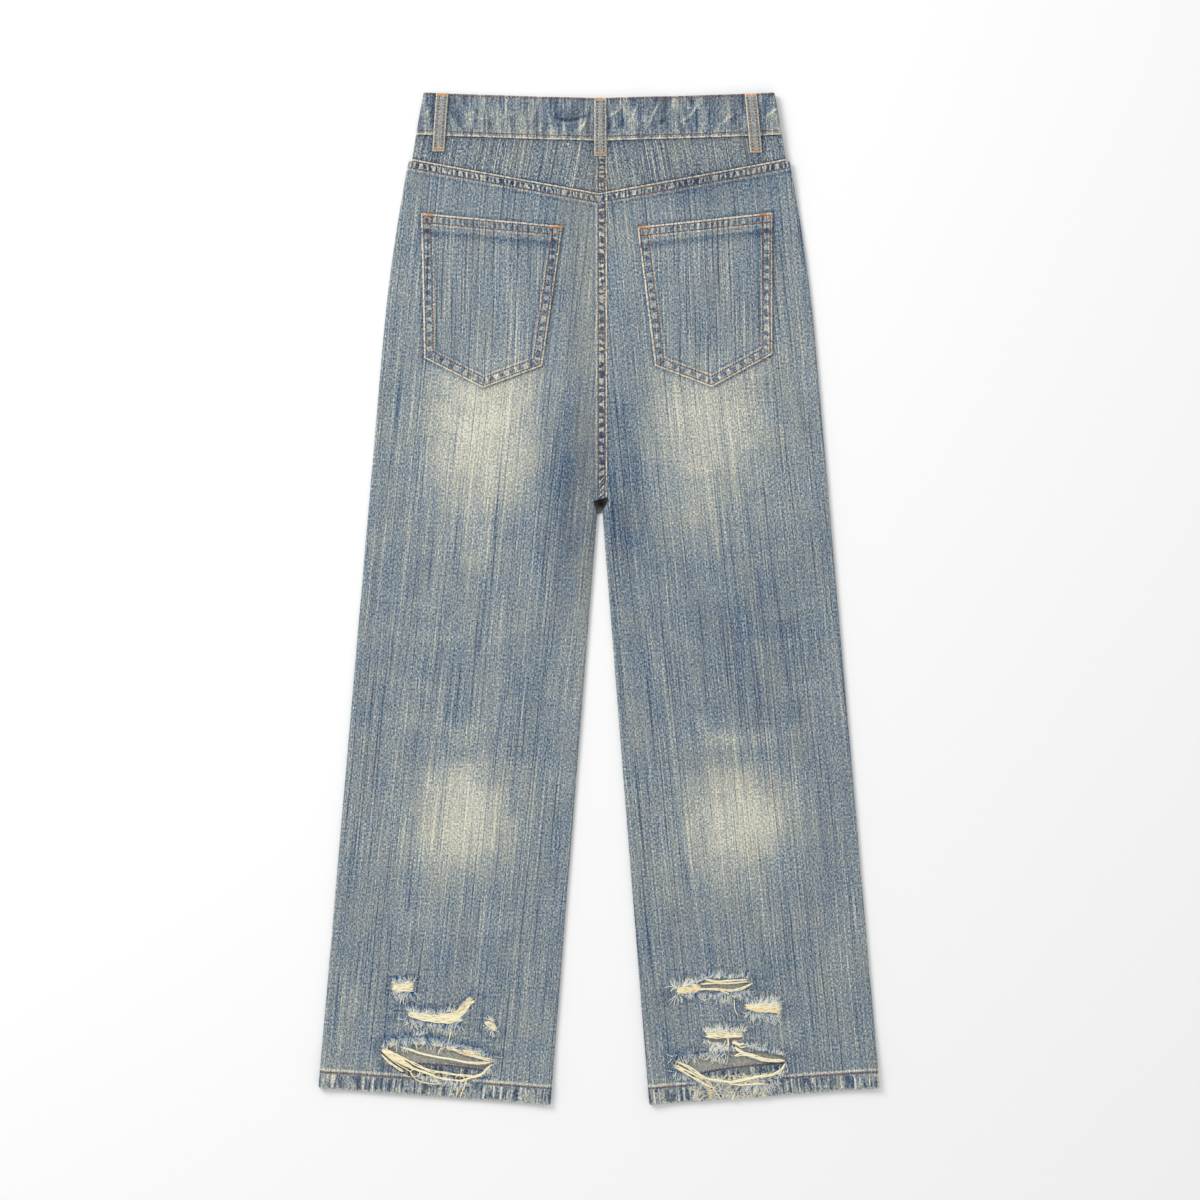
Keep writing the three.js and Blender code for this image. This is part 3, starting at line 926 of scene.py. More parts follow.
def shade_at(x, y):
    """Broad dark places, the rubbed tops of the creases, and slow mottling."""
    total = 0.03 * hills(x, y, 36, 23) + 0.025 * hills(x, y, 12, 24)
    for cx, cy, half_width, half_height, strength in DARKS:
        far = ((x - cx) / half_width) ** 2 + ((y - cy) / half_height) ** 2
        total = total + strength * np.exp(-far)
    # A lighter band by the centre seam with a dark line right of it: the painted light and shade of a
    # fold.
    inner = smooth(y, -60, 120) * (1 - smooth(y, 125, 160))
    total = total + inner * (0.05 * bump(x, 9.5, 3.5) - 0.14 * bump(x, 14.5, 2.2))
    folds = creases(x, y) - 0.35 * hills(x, y, 70, 3) - fork_folds(x, y)
    return total + 0.11 * folds + 0.32 * fork_folds(x, y)


def dust_at(x, y):
    """The beige-green tint beside the centre seam and down the left inseam."""
    beside = np.exp(-(((x + 14) / 14) ** 2)) * smooth(y, -260, 60) * (1 - smooth(y, 380, 470))
    return 0.16 * beside + 0 * y


def grain_map(x, y, slant=0.1):
    """The cloth map: across the yarns, |x| + slant * y, and along them, y."""
    return np.stack([np.sign(x + 1e-9) * (np.abs(x) + slant * y), y + 0 * x], axis=-1)


print(len(FADES), "fades and", len(DARKS), "broad lights and darks")

# %% [markdown]
# ## The outline of a back pocket
#
# The pocket's five edges are needed before the legs, because the cloth beside them gets a painted
# shadow, a dark line along the edges.

# %% Outline of the back pockets
POCKETS = {
    -1: ([(-181.6, 394.2), (-37.1, 381.0)], [(-178.5, 246.3), (-118.4, 215.7), (-57.9, 238.2)]),
    1: ([(176.9, 394.8), (39.0, 380.2)], [(176.9, 250.1), (115.1, 216.5), (57.1, 238.4)]),
}
MOUTH_HEM = 13.0


def along(a, b):
    """The height of the straight line from a to b at x."""
    return lambda x: mix(a[1], b[1], (x - a[0]) / (b[0] - a[0]))


def pocket_edges(side):
    """The pocket's corners in order, from the outer top round to the inner top."""
    mouth, foot = POCKETS[side]
    return [mouth[0], *foot, mouth[1]]


def edge_gaps(x, y, side):
    """Distance from each straight edge of the pocket's foot and sides, and the run along it."""
    corners = pocket_edges(side)
    centre = np.mean(corners, axis=0)
    gaps, runs, total = [], [], 0.0
    for a, b in zip(corners[:-1], corners[1:]):
        a, b = np.array(a), np.array(b)
        length = np.hypot(*(b - a))
        tangent = (b - a) / length
        normal = np.array([-tangent[1], tangent[0]])
        if np.dot(centre - a, normal) < 0:
            normal = -normal
        gaps.append((x - a[0]) * normal[0] + (y - a[1]) * normal[1])
        runs.append(total + (x - a[0]) * tangent[0] + (y - a[1]) * tangent[1])
        total += length
    return np.array(gaps), np.array(runs)


def pocket_gap(x, y, side):
    """Gap and run of the nearest edge."""
    gaps, runs = edge_gaps(x, y, side)
    nearest = gaps.argmin(axis=0)[None]
    return np.take_along_axis(gaps, nearest, 0)[0], np.take_along_axis(runs, nearest, 0)[0]


def pocket_edge_shadow(x, y, side):
    """Painted shadow: the dark line just outside the pocket's edges."""
    gaps, _ = edge_gaps(x, y, side)
    inside = np.minimum(gaps.min(axis=0), along(*POCKETS[side][0])(x) - y)
    return -0.24 * bump(inside, -0.6, 2.0)


print("pocket corners:", [pocket_edges(side) for side in POCKETS])

# %% [markdown]
# ## The back legs
#
# A back leg starts with the strip of the felled yoke seam, which laps over the yoke. The left
# one also laps over the right one at the centre seam. At the bottom the sheet turns round the
# hem's fold and comes up again inside, as the real hem does.

# %% Back legs
HEM_TURN = CLOTH + 0.05
TOP_ZONE = 13.0
RIP_ZONE = 128.0


def leg_rows(top, bottom, step, fine, notch, band=HEM_BAND):
    """Rows: fine ones at the top seam, at the fork and at the rips, then the turned-up hem."""
    inner = np.array([0.0])
    start_y = float(top(inner)[0]) - TOP_ZONE
    end_y = float(bottom(inner)[0]) + RIP_ZONE
    heights = np.concatenate(
        [
            spaced(start_y, notch + 14, step)[:-1], spaced(notch + 14, notch - 14, 1.3)[:-1],
            spaced(notch - 14, end_y, step)[:-1],
        ]
    )
    share = (start_y - heights) / (start_y - end_y)
    turn = np.radians(np.linspace(0, 180, 7))[1:]
    return np.concatenate(
        [
            sheet_rows(0, -spaced(0, TOP_ZONE, 1.0)[:-1]),
            sheet_rows(share, mix(-TOP_ZONE, RIP_ZONE, share)),
            sheet_rows(1, spaced(RIP_ZONE, HEM_TURN, fine)),
            sheet_rows(1, HEM_TURN * (1 - np.sin(turn)), HEM_TURN * (1 - np.cos(turn))),
            sheet_rows(1, spaced(HEM_TURN, band, 2.0)[1:], 2 * HEM_TURN),
        ],
        axis=1,
    )


def hem_relief(x, y, seed):
    """The hem's groove along its stitches and the ripples it is roped into below them."""
    height = y - hem_line(x)
    ripple = np.sin(2 * np.pi * (x + 3 * cloud(x + 900, 0 * x, 22, seed)) / 8.5)
    inside = smooth(height, 0, 2) * (1 - smooth(height, 13, 18))
    return 0.22 * ripple * inside - 0.3 * bump(height, HEM_BAND, 1.0)


def back_leg_relief(side):
    """Relief of a back leg: its creases, the seams that it laps over, and its hem."""

    def relief(x, y):
        total = creases(x, y)
        top_gap = (yoke_seam(x) - y) * YOKE_COS
        total = total + lapped_seam(top_gap, x, 31)
        if side < 0:
            centre = lapped_seam(SEAT_SEAM - x, y, 32) * smooth(y, 100, 108)
            total = np.where(top_gap > 10, total + centre, total)
        return total + hem_relief(x, y, 33)

    return relief


def near_seams(x, y, side):
    """Gap and run from the nearest folded edge of a back leg."""
    top_gap = (yoke_seam(x) - y) * YOKE_COS
    centre_gap = np.where(y > 101, SEAT_SEAM - x, FAR_GAP) if side < 0 else FAR_GAP + 0 * x
    use_top = (top_gap < centre_gap) | (top_gap < 9.9)
    gap = np.where(use_top, top_gap, centre_gap)
    roped = 1 - smooth(y, 120, 145)
    down = 0.62 * (y + 300) - roped * (0.45 * (145 - y) - centre_gap)
    run = np.where(use_top, np.abs(x), down)
    return np.clip(gap, 0, FAR_GAP), run


def rip_halo_and_fringe_shadow(x, y, side):
    """Bluer, darker cloth just round a rip, unfaded indigo and painted shadow under the fringe, and
    pale raised cloth at its very edge.
    """
    gap = nearest_rip(x, y, side)
    near = (y < -370) & (y > -512)
    patchy = 0.6 + 0.4 * hills(x, y, 4, 41)
    # The dark ring is unfaded indigo with painted shadow under the fringe; the pale rim is the raised
    # edge.
    halo = -0.24 * bump(gap, 4.5, 3.8) * patchy + 0.1 * bump(gap, 0.6, 1.4)
    return np.where(near, halo, 0)


def back_leg(side, word):
    """A back leg with its wear, torn at the rips."""
    rows = leg_rows(yoke_seam, hem_line, 3.0, 1.45, 102)
    columns = sheet_columns(212, 2.65, True, True, start_reach=13.0)
    relief = back_leg_relief(side)
    flat, quads = sheet_mesh(
        rows, columns,
        lambda x: yoke_seam(x) - GAP / 2,
        hem_line, back_inner_edge(side),
        lambda y: side * outseam(y),
        lambda x, y: back_plain(x, y) + relief(x, y),
        side_middle, rolls=(lambda y: 1 - smooth(y, 99, 104), always),
    )
    flat, quads = tear(flat, quads, side)
    x, y = flat[:, 0], flat[:, 1]
    gap, run = near_seams(x, y, side)
    inside = np.repeat(rows[2] > HEM_TURN, columns.shape[1])
    # The shade holds painted shadow round the rips' fringes and along the pocket's edges.
    shade = shade_at(x, y) + rip_halo_and_fringe_shadow(x, y, side) + pocket_edge_shadow(x, y, side)
    values = {
        "fade": np.where(inside, 0, fade_at(x, y)), "shade": np.where(inside, -0.2, shade),
        "gap": np.where(inside, FAR_GAP, gap), "run": run, "rise": np.clip(y - hem_line(x), 0, 60),
        "dust": dust_at(x, y),
        # painted shadow deep in the fork, read by the wrong side
        "dark": np.exp(-(((x - 2) / 16) ** 2) - ((y - 100) / 12) ** 2),
    }
    materials = [LEG_DENIM, WRONG_SIDE]
    cloth = grain_map(x, y)
    return make_piece(f"denim_back_leg_{word}", flat, [quads], materials, cloth, values)


def thicken(piece, thickness, inner_material=1):
    """Gives a sheet its wall, inwards from the outside face."""
    wall = piece.modifiers.new("wall", "SOLIDIFY")
    wall.thickness = thickness * MM
    wall.offset = -1
    wall.use_even_offset = False
    wall.material_offset = inner_material
    wall.material_offset_rim = 0
    return piece


SIDES = [("left", -1), ("right", 1)]
pieces = {}
for word, side in SIDES:
    pieces[f"back_leg_{word}"] = thicken(back_leg(side, word), CLOTH - 0.05)
    print("back leg", word, len(pieces[f"back_leg_{word}"].data.polygons), "faces")

# %% [markdown]
# ## The back yokes
#
# The yoke is a wedge between the waistband and the leg. The left one laps over the right one at
# the centre, in line with the seat seam.

# %% Back yokes


def yoke(side, word):
    """A yoke, ruffled a little under the band."""
    rows = sheet_rows(spaced(0, 1, 0.028), 0)
    columns = sheet_columns(180, 1.9, False, True, start_reach=13.0)

    def outside(x, y):
        total = back_plain(x, y) + creases(x, y)
        below_band = bump(band_bottom(x) - y, 0, 3.0)
        ruffle = 0.25 * np.sin(2 * np.pi * (x + 5 * hills(x, y, 30, 61)) / 17)
        total = total + ruffle * bump(band_bottom(x) - y, 4, 12) - 0.3 * below_band
        if side < 0:
            total = total + lapped_seam(SEAT_SEAM - x, y, 32, rise=0.6)
        return total

    flat, quads = sheet_mesh(
        rows, columns,
        lambda x: band_bottom(x) - GAP,
        lambda x: yoke_seam(x) + GAP / 2,
        back_inner_edge(side),
        lambda y: side * outseam(y),
        outside, side_middle,
    )
    x, y = flat[:, 0], flat[:, 1]
    gap = np.clip(SEAT_SEAM - x, 0, FAR_GAP) if side < 0 else FAR_GAP + 0 * x
    loops = sum(0.2 * bump(x, at, 14) * bump(y, 462, 16) for at in (-163, 1.4, 159))
    # Painted shadow: dark lines under the band's edge and along the yoke seam, and a softer shade below
    # the band.
    painted_seam_shadow = -0.2 * bump(band_bottom(x) - y, 0, 2.6) - 0.3 * bump(y - yoke_seam(x), 0, 2.0)
    painted_seam_shadow = painted_seam_shadow - 0.08 * bump(band_bottom(x) - y, 4, 8)
    streaks = 0.06 * cloud(x + 900 + 0.18 * y, 0.2 * y + 900, 3, 62)
    values = {
        "fade": 0 * x + 0.02, "shade": 0.6 * shade_at(x, y) + painted_seam_shadow - loops + streaks, "gap": gap,
        "run": y + 300, "dust": dust_at(x, y) + 0.05,
    }
    materials = [YOKE_DENIM, WRONG_SIDE]
    cloth = grain_map(x, y, 0.18)
    return make_piece(f"denim_back_yoke_{word}", flat, [quads], materials, cloth, values)


for word, side in SIDES:
    pieces[f"back_yoke_{word}"] = thicken(yoke(side, word), CLOTH - 0.05)
print(len(pieces), "cloth pieces so far")

# %% [markdown]
# ## The waistband
#
# The band is a strip folded double. Its outside is full of small upright creases that lean one
# way and the other, and a longer one that wanders along the middle.

# %% Waistband
# Rubbed ridges on the band: the points that each runs through, its width and its height.
BAND_STROKES = [
    ([(-172.5, 514), (-172.5, 505)], 1.2, 0.7), ([(-179, 492.5), (-172.5, 499.5)], 1.2, 0.8),
    ([(-133.5, 495), (-126.5, 496.5), (-123, 490), (-109.5, 492.5), (-108, 497)], 1.1, 0.9),
    ([(-95, 511), (-95, 497.5), (-99.5, 485)], 1.2, 0.7), ([(-91, 493), (-84, 498)], 1.1, 0.7),
    ([(-71, 489), (-72, 503)], 1.2, 0.6), ([(-60, 484), (-59, 474)], 1.1, 0.7),
    ([(-50, 488), (-48, 474)], 1.1, 0.6), ([(-36.5, 485), (-33, 473)], 1.1, 0.8),
    ([(-21, 476), (-12, 489)], 1.3, 1.0),
    ([(-50, 489.5), (-38, 485.5), (-29.5, 485), (-18, 487), (-11, 491)], 1.1, 0.5),
    ([(21.5, 508.5), (20.5, 499.5), (9.5, 491)], 1.2, 1.0),
    ([(40, 508.5), (37.5, 499.5), (31, 486)], 1.2, 0.9),
    ([(62, 508), (56.5, 496.5), (49, 481)], 1.3, 1.0), ([(76, 509.5), (74, 500)], 1.2, 0.6),
    ([(101.5, 510), (95.5, 496.5), (82.5, 486)], 1.4, 1.0), ([(137, 494), (124, 484.5)], 1.3, 0.7),
    ([(181, 500), (170, 491.5)], 1.3, 0.9),
    ([(-46, 492.5), (-38, 489), (-29.5, 488.5), (-21, 490), (-10, 494)], 1.5, -1.1),
    ([(25, 487), (17, 480)], 1.8, -0.6), ([(72, 492), (60, 484)], 1.8, -0.5),
    ([(-112, 486), (-104, 482)], 1.6, -0.5),
]


def stroke(x, y, corners, width, height):
    """A ridge along a curve: a bell of the distance to the curve, tapered to both its ends."""
    path = curve_through(corners, 26)
    far = np.hypot(x[..., None] - path[:, 0], y[..., None] - path[:, 1])
    share = far.argmin(axis=-1) / 25
    taper = np.sin(np.pi * (0.12 + 0.76 * share))
    return height * taper * np.exp(-((far.min(axis=-1) / width) ** 2))


def strokes(x, y):
    """All the ridges of the band."""
    x, y = np.broadcast_arrays(x, y)
    return sum(stroke(x, y, *line) for line in BAND_STROKES)


def band_relief(x, y):
    """Upright ridges, stronger towards the seam, with the listed ridges on top."""
    lean = 0.5 * cloud(x + 900, 0 * x, 34, 71)
    upright = cloud(x + 900 + lean * (y - 490), 0.1 * y + 900, 6.5, 72)
    tall = smooth(y - band_bottom(x), 3, 9) * smooth(band_top(x) - y, 3, 8)
    edges = bump(band_top(x) - y, 1.7, 1.0) + bump(y - band_bottom(x), 4.2, 1.0)
    return 0.3 * upright * (0.4 + 0.6 * tall) + 0.8 * strokes(x, y) - 0.25 * edges


def band_shade(x, y):
    """Upright smudges of dye, darker beside the loops and pale on the ridges."""
    lean = 0.35 * cloud(x + 900, 0 * x, 30, 75)
    wide = cloud(x + 900 + lean * (y - 490), 0.22 * y + 900, 4.4, 73)
    narrow = cloud(x + 900 + lean * (y - 490), 0.3 * y + 900, 1.9, 74)
    loops = sum(bump(x, at, 10.5) for at in (-161, 1.4, 157))
    low = 0.06 * (1 - smooth(y - band_bottom(x), 4, 14))
    return 0.22 * wide + 0.14 * narrow - 0.26 * loops + 0.46 * strokes(x, y) + low


def band_piece(name, rows, columns, top, bottom, start, finish, outside, up, rolls, middle):
    """One length of the band, with its wear."""
    edges = (top, bottom, start, finish, outside, middle)
    flat, quads = sheet_mesh(rows, columns, *edges, up=up, rolls=rolls)
    x, y = flat[:, 0], flat[:, 1]
    values = {
        "fade": 0 * x, "shade": band_shade(x, y), "gap": np.clip(y - bottom(x), 0, FAR_GAP),
        "run": x + 400, "dust": 0.03 + 0 * x,
    }
    return make_piece(name, flat, [quads], [BAND_DENIM, BAND_DENIM], grain_map(x, y, 0.0), values)


pieces["waistband_back"] = band_piece(
    "denim_waistband_back", sheet_rows(spaced(0, 1, 0.026), 0), sheet_columns(366, 1.1, True, True),
    band_top, band_bottom,
    lambda y: -outseam(y),
    outseam,
    lambda x, y: back_plain(x, y) + BAND - CLOTH + band_relief(x, y),
    1, (always, always), band_middle,
)
thicken(pieces["waistband_back"], BAND - 0.05)
for word, side in SIDES:
    lap_end = -22.0 if side > 0 else 22.0

    def front_lift(x, side=side):
        """Lifts the right end of the band over the left one."""
        return LAP_RISE * (1 - smooth(x, 24, 40)) if side > 0 else 0 * x

    pieces[f"waistband_front_{word}"] = band_piece(
        f"denim_waistband_front_{word}", sheet_rows(spaced(0, 1, 0.04), 0),
        sheet_columns(196, 2.0, False, True), front_band_top, front_band_bottom,
        lambda y, lap_end=lap_end: 0 * y + lap_end,
        lambda y, side=side: side * outseam(y),
        lambda x, y, lift=front_lift: (
            front_outside(x, y) + lift(x) - 0.5 * np.minimum(band_relief(x, y), 0)
        ),
        -1, (never, always), band_middle,
    )
    thicken(pieces[f"waistband_front_{word}"], BAND - 0.05)
print(len(BAND_STROKES), "ridges on the band")

# %% [markdown]
# ## The front legs
#
# They lie face down and only their insides show, through the rips: the grey wrong side, and the
# blue of the turned-up hem with its row of stitches, which arches because the front is cut
# shorter.

# %% Front legs


FRONT_ARCH = 14


def front_hem_line(x):
    """The hem line plus a parabola, FRONT_ARCH high in the middle of each leg."""
    return hem_line(x) + FRONT_ARCH * np.maximum(0, 1 - ((np.abs(x) - 168) / 118) ** 2)


FRONT_EXTRA = 3.4  # turned up this much higher than the back hems
FRONT_BAND = HEM_BAND + FRONT_EXTRA
SCOOP = (190.0, 472.0, 95.0, 77.0)  # centre x, centre y, half width, half height
OFF_TABLE = 0.04  # height of the lower face over the table


def scoop_distance(x, y):
    """How far outside the scooped corner a point lies, in millimetres; negative inside."""
    cx, cy, across, down = SCOOP
    u, v = (np.abs(x) - cx) / across, (y - cy) / down
    radius = np.hypot(u, v) + 1e-6
    slope = np.hypot(u / across, v / down) / radius
    return (radius - 1) / np.maximum(slope, 1e-4)


def front_relief(x, y):
    """Inwards only, so that the underside keeps flat on the table."""
    broad = 0.12 + 0.12 * hills(x, y, 40, 81)
    away = scoop_distance(x, y)
    scoop = 0.5 * bump(away, 1.5, 1.0) + 0.5 * bump(away, 8.5, 1.0)
    return broad + 0.3 * scoop


def front_leg(side, word):
    """A front leg, face down, cut away at the scooped corner."""
    rows = leg_rows(front_band_bottom, front_hem_line, 5.0, 2.6, 88, FRONT_BAND)
    columns = sheet_columns(212, 4.2, True, True, start_reach=13.0, fine=1.6)
    flat, quads = sheet_mesh(
        rows, columns,
        lambda x: front_band_bottom(x) - GAP,
        front_hem_line, front_inner_edge(side),
        lambda y: side * outseam(y),
        lambda x, y: (front_outside(x, y) + OFF_TABLE + front_relief(x, y) * smooth(y, -480, -440)),
        side_middle, up=-1, rolls=(front_forked, always),
    )
    x, y = flat[:, 0], flat[:, 1]
    centre_gap = np.where((side < 0) & (y > 96), SEAT_SEAM - x, FAR_GAP)
    gap = np.minimum(scoop_distance(x, y), centre_gap)
    # Painted shadow: a dark line along the centre seam's folded edge.
    beside = -0.3 * bump(x, SEAT_SEAM + 0.5, 1.2) * smooth(y, 92, 98)
    inside = np.repeat(rows[2] > HEM_TURN, columns.shape[1])
    height = y - front_hem_line(x)
    values = {
        "fade": np.where(inside, 0, fade_at(-x, y) * 0.8),
        "shade": np.where(inside, -0.16, shade_at(-x, y) + beside),
        "gap": np.where(inside, FAR_GAP, np.clip(gap, 0, FAR_GAP)),
        "run": np.where(np.abs(x) > 60, np.abs(x) - y, y),
        "rise": np.clip(height + 2.0 - FRONT_EXTRA, 0, 60), "dust": 0 * x,
        # painted shadow deep in the fork, read by the wrong side
        "dark": np.exp(-(((x - 2) / 16) ** 2) - ((y - 98) / 13) ** 2),
    }
    middle = flat[quads].mean(axis=1)
    quads = quads[scoop_distance(middle[:, 0], middle[:, 1]) > 0]
    print("front leg", word, len(quads), "faces; the hem stands", round(float(height.min()), 2))
    materials = [LEG_DENIM, WRONG_SIDE]
    cloth = grain_map(x, y)
    return make_piece(f"denim_front_leg_{word}", flat, [quads], materials, cloth, values)


for word, side in SIDES:
    pieces[f"front_leg_{word}"] = thicken(front_leg(side, word), CLOTH - 0.05)

# %% [markdown]
# ## Front pocket facings
#
# The facing fills the scooped corner at the hip, a little further in than the leg.

# %% Pocket facings


def facing_piece(side, word):
    """The corner of cloth that shows inside the scoop."""
    rows = sheet_rows(spaced(0, 1, 0.03), 0)
    columns = sheet_columns(100, 3.0, False, True)
    flat, quads = sheet_mesh(
        rows, columns,
        lambda x: front_band_bottom(x) - GAP,
        lambda x: 394.0 + 0 * x,
        lambda y: side * (95 + 0 * y),
        lambda y: side * outseam(y),
        lambda x, y: front_outside(x, y) + 0.35 * smooth(-scoop_distance(x, y), 0, 2) + 0.1,
        side_middle, up=-1,
    )
    middle = flat[quads].mean(axis=1)
    quads = quads[scoop_distance(middle[:, 0], middle[:, 1]) < 0]
    x, y = flat[:, 0], flat[:, 1]
    values = {
        "fade": 0 * x, "shade": 0.05 + 0.05 * hills(x, y, 8, 91), "gap": FAR_GAP + 0 * x, "run": x,
        "dust": 0 * x,
    }
    materials = [YOKE_DENIM, WRONG_SIDE]
    cloth = grain_map(x, y)
    return make_piece(f"denim_pocket_facing_{word}", flat, [quads], materials, cloth, values)


for word, side in SIDES:
    pieces[f"pocket_facing_{word}"] = thicken(facing_piece(side, word), CLOTH - 0.2)
print(len(pieces), "cloth pieces so far")

# %% [markdown]
# ## Back pockets
#
# A back pocket is a five-sided patch with its edges pressed under and held by two rows of
# stitches, and a hem across the mouth. The gap from the nearest edge shapes it: a rounded fold,
# two grooves and puckers between them.

# %% Back pockets


def pocket_top(x, y, side):
    """Height of the pocket's outside: over the leg by its own wall, rounded down at its edges."""
    mouth, _ = POCKETS[side]
    gap, run = pocket_gap(x, y, side)
    below = along(*mouth)(x) - y
    fold = 0.55 * np.sqrt(np.clip(np.minimum(gap, below), 0, 1))
    hemmed = 0.5 * (1 - smooth(below, MOUTH_HEM - 0.8, MOUTH_HEM + 0.8))
    margin = 0.3 * (1 - smooth(gap, 9.6, 11.6))
    grooves = 0.22 * (bump(gap, ROW_ONE, 0.9) + bump(gap, ROW_TWO + 0.6, 0.9))
    grooves = grooves + 0.22 * (bump(below, ROW_ONE, 0.9) + bump(below, ROW_TWO, 0.9))
    wave = rope(gap, run, 101, 8.5) + 0.8 * rope(below, x, 102, 5.5)
    base = back_plain(x, y) + creases(x, y) + GAP + CLOTH - 0.55
    return base + fold + np.maximum(hemmed, margin) - grooves + wave


def pocket(side, word):
    """A back pocket with its stitched edges."""
    mouth, foot = POCKETS[side]

    def bottom(x):
        outer, inner = along(foot[0], foot[1])(x), along(foot[1], foot[2])(x)
        return np.where(np.abs(x) > abs(foot[1][0]), outer, inner)

    def edge(a, b):
        return lambda y: mix(a[0], b[0], (y - a[1]) / (b[1] - a[1]))

    flat, quads = sheet_mesh(
        sheet_rows(spaced(0, 1, 0.0105), 0), sheet_columns(120, 1.5, False, False), along(*mouth),
        bottom, edge(mouth[0], foot[0]), edge(mouth[1], foot[2]),
        lambda x, y: pocket_top(x, y, side),
        rolls=(never, never),
    )
    x, y = flat[:, 0], flat[:, 1]
    gap, run = pocket_gap(x, y, side)
    below = along(*mouth)(x) - y
    use_mouth = (below < gap) | (below < 10.5)
    # Below the mouth hem a pale line, then painted shadow under the hem, deeper towards the pocket's
    # sides (ends).
    line = 0.24 * bump(below, MOUTH_HEM + 1.4, 1.3) - 0.2 * bump(below, MOUTH_HEM + 6, 4)
    ends = np.exp(-((gap / 12) ** 2)) * bump(below, MOUTH_HEM + 6, 7)
    foot_fade = 0.2 * bump(y, 214, 30) * bump(np.abs(x), 112, 45)
    streak = 0.05 * cloud(x + 900 + 0.05 * y, 0.12 * y + 900, 4.5, 103)
    values = {
        "fade": foot_fade, "shade": 0.7 * shade_at(x, y) + line - 0.16 * ends + streak,
        "gap": np.clip(np.where(use_mouth, np.minimum(below, gap), gap), 0, FAR_GAP),
        "run": np.where(use_mouth, x * 1.8, run), "dust": 0 * x,
    }
    materials = [POCKET_DENIM, WRONG_SIDE]
    cloth = grain_map(x, y, 0.03)
    return make_piece(f"denim_back_pocket_{word}", flat, [quads], materials, cloth, values)


for word, side in SIDES:
    pieces[f"back_pocket_{word}"] = thicken(pocket(side, word), CLOTH - 0.1)
print(len(pieces), "cloth pieces so far")

# %% [markdown]
# ## Belt loops
#
# A loop is a strip folded in three. It crosses the band and ends on the yoke, and its two long
# edges are rubbed to cream.

# %% Belt loops
LOOP_WIDTH = 12.2
LOOPS = {
    "back_left": ((-159.6, 516.0), (-163.7, 456.5), 1), "back_centre": ((1.4, 510.8), (1.4, 451.4), 1),
    "back_right": ((154.5, 515.4), (160.1, 455.4), 1),
    "front_left": ((-96.0, 507.6), (-96.0, 447.6), -1),
    "front_right": ((96.0, 507.6), (96.0, 447.6), -1),
}


def loop_top(x, y):
    """Over the band, then down a soft step onto the yoke, with a slight arch in between."""
    on_band = smooth(y, band_bottom(x) - 6, band_bottom(x) - 0.5)
    arch = 0.9 * np.sin(np.pi * np.clip((y - 455) / 57, 0, 1))
    return back_plain(x, y) + on_band * (BAND - CLOTH) + GAP + LOOP + arch - 0.1


def belt_loop(word):
    """One loop; the front ones lie face down under the band."""
    top, foot, up = LOOPS[word]

    def centre(y):
        return mix(foot[0], top[0], (y - foot[1]) / (top[1] - foot[1]))

    def outside(x, y):
        across = np.abs(x - centre(y))
        rounded = 0.5 * (1 - np.sqrt(np.clip((LOOP_WIDTH / 2 - across) / 1.2, 0, 1)))
        groove = 0.2 * bump(across, LOOP_WIDTH / 2 - 3, 0.8)
        drop = rounded + groove - 0.12 * hills(x, y, 5, 111)
        end = 0.8 * (1 - smooth(np.minimum(top[1] - y, y - foot[1]), 0, 1.6))
        return loop_top(x, y) - drop - end if up > 0 else drop * 0.5 + 0.05 + 0 * y

    flat, quads = sheet_mesh(
        sheet_rows(spaced(0, 1, 0.016), 0), sheet_columns(LOOP_WIDTH, 0.8, False, False),
        lambda x: top[1] + 0 * x,
        lambda x: foot[1] + 0 * x,
        lambda y: centre(y) - LOOP_WIDTH / 2,
        lambda y: centre(y) + LOOP_WIDTH / 2,
        outside, up=up, rolls=(never, never),
    )
    x, y = flat[:, 0], flat[:, 1]
    across = LOOP_WIDTH / 2 - np.abs(x - centre(y))
    ends = np.minimum(top[1] - y, y - foot[1])
    values = {
        "fade": 0 * x, "shade": 0.05 * hills(x, y, 6, 112),
        "gap": np.clip(np.minimum(across, ends) + 0.6, 0, FAR_GAP), "run": y, "dust": 0.1 + 0 * x,
    }
    materials = [LOOP_DENIM, LOOP_DENIM]
    cloth = grain_map(x, y, 0)
    return make_piece(f"denim_belt_loop_{word}", flat, [quads], materials, cloth, values)


for word in LOOPS:
    pieces[f"belt_loop_{word}"] = thicken(belt_loop(word), LOOP - 0.1, 0)
print(len(pieces), "cloth pieces")

# %% [markdown]
# ## Stitches
#
# One stitch is a rice grain of thread, half sunk in the cloth. A row is many of them along a
# path, laid on whatever surface is below. All the rows of one colour are one mesh.

# %% Stitch maker
STITCH = 2.5  # length of a stitch
PITCH = 3.1  # from one stitch to the next
THICK = 1.35  # the thread, and what of it shows under the garment
THICK_UNDER = 0.95


def walk(path, pitch):
    """Evenly spaced points along a path of corners, and the direction at each."""
    path = np.asarray(path, float)
    lengths = np.hypot(*np.diff(path, axis=0).T)
    total = np.concatenate([[0], np.cumsum(lengths)])
    at = np.arange(pitch / 2, total[-1], pitch)
    x, y = np.interp(at, total, path[:, 0]), np.interp(at, total, path[:, 1])
    segment = np.clip(np.searchsorted(total, at) - 1, 0, len(lengths) - 1)
    direction = np.diff(path, axis=0)[segment] / lengths[segment][:, None]
    return np.stack([x, y], -1), direction


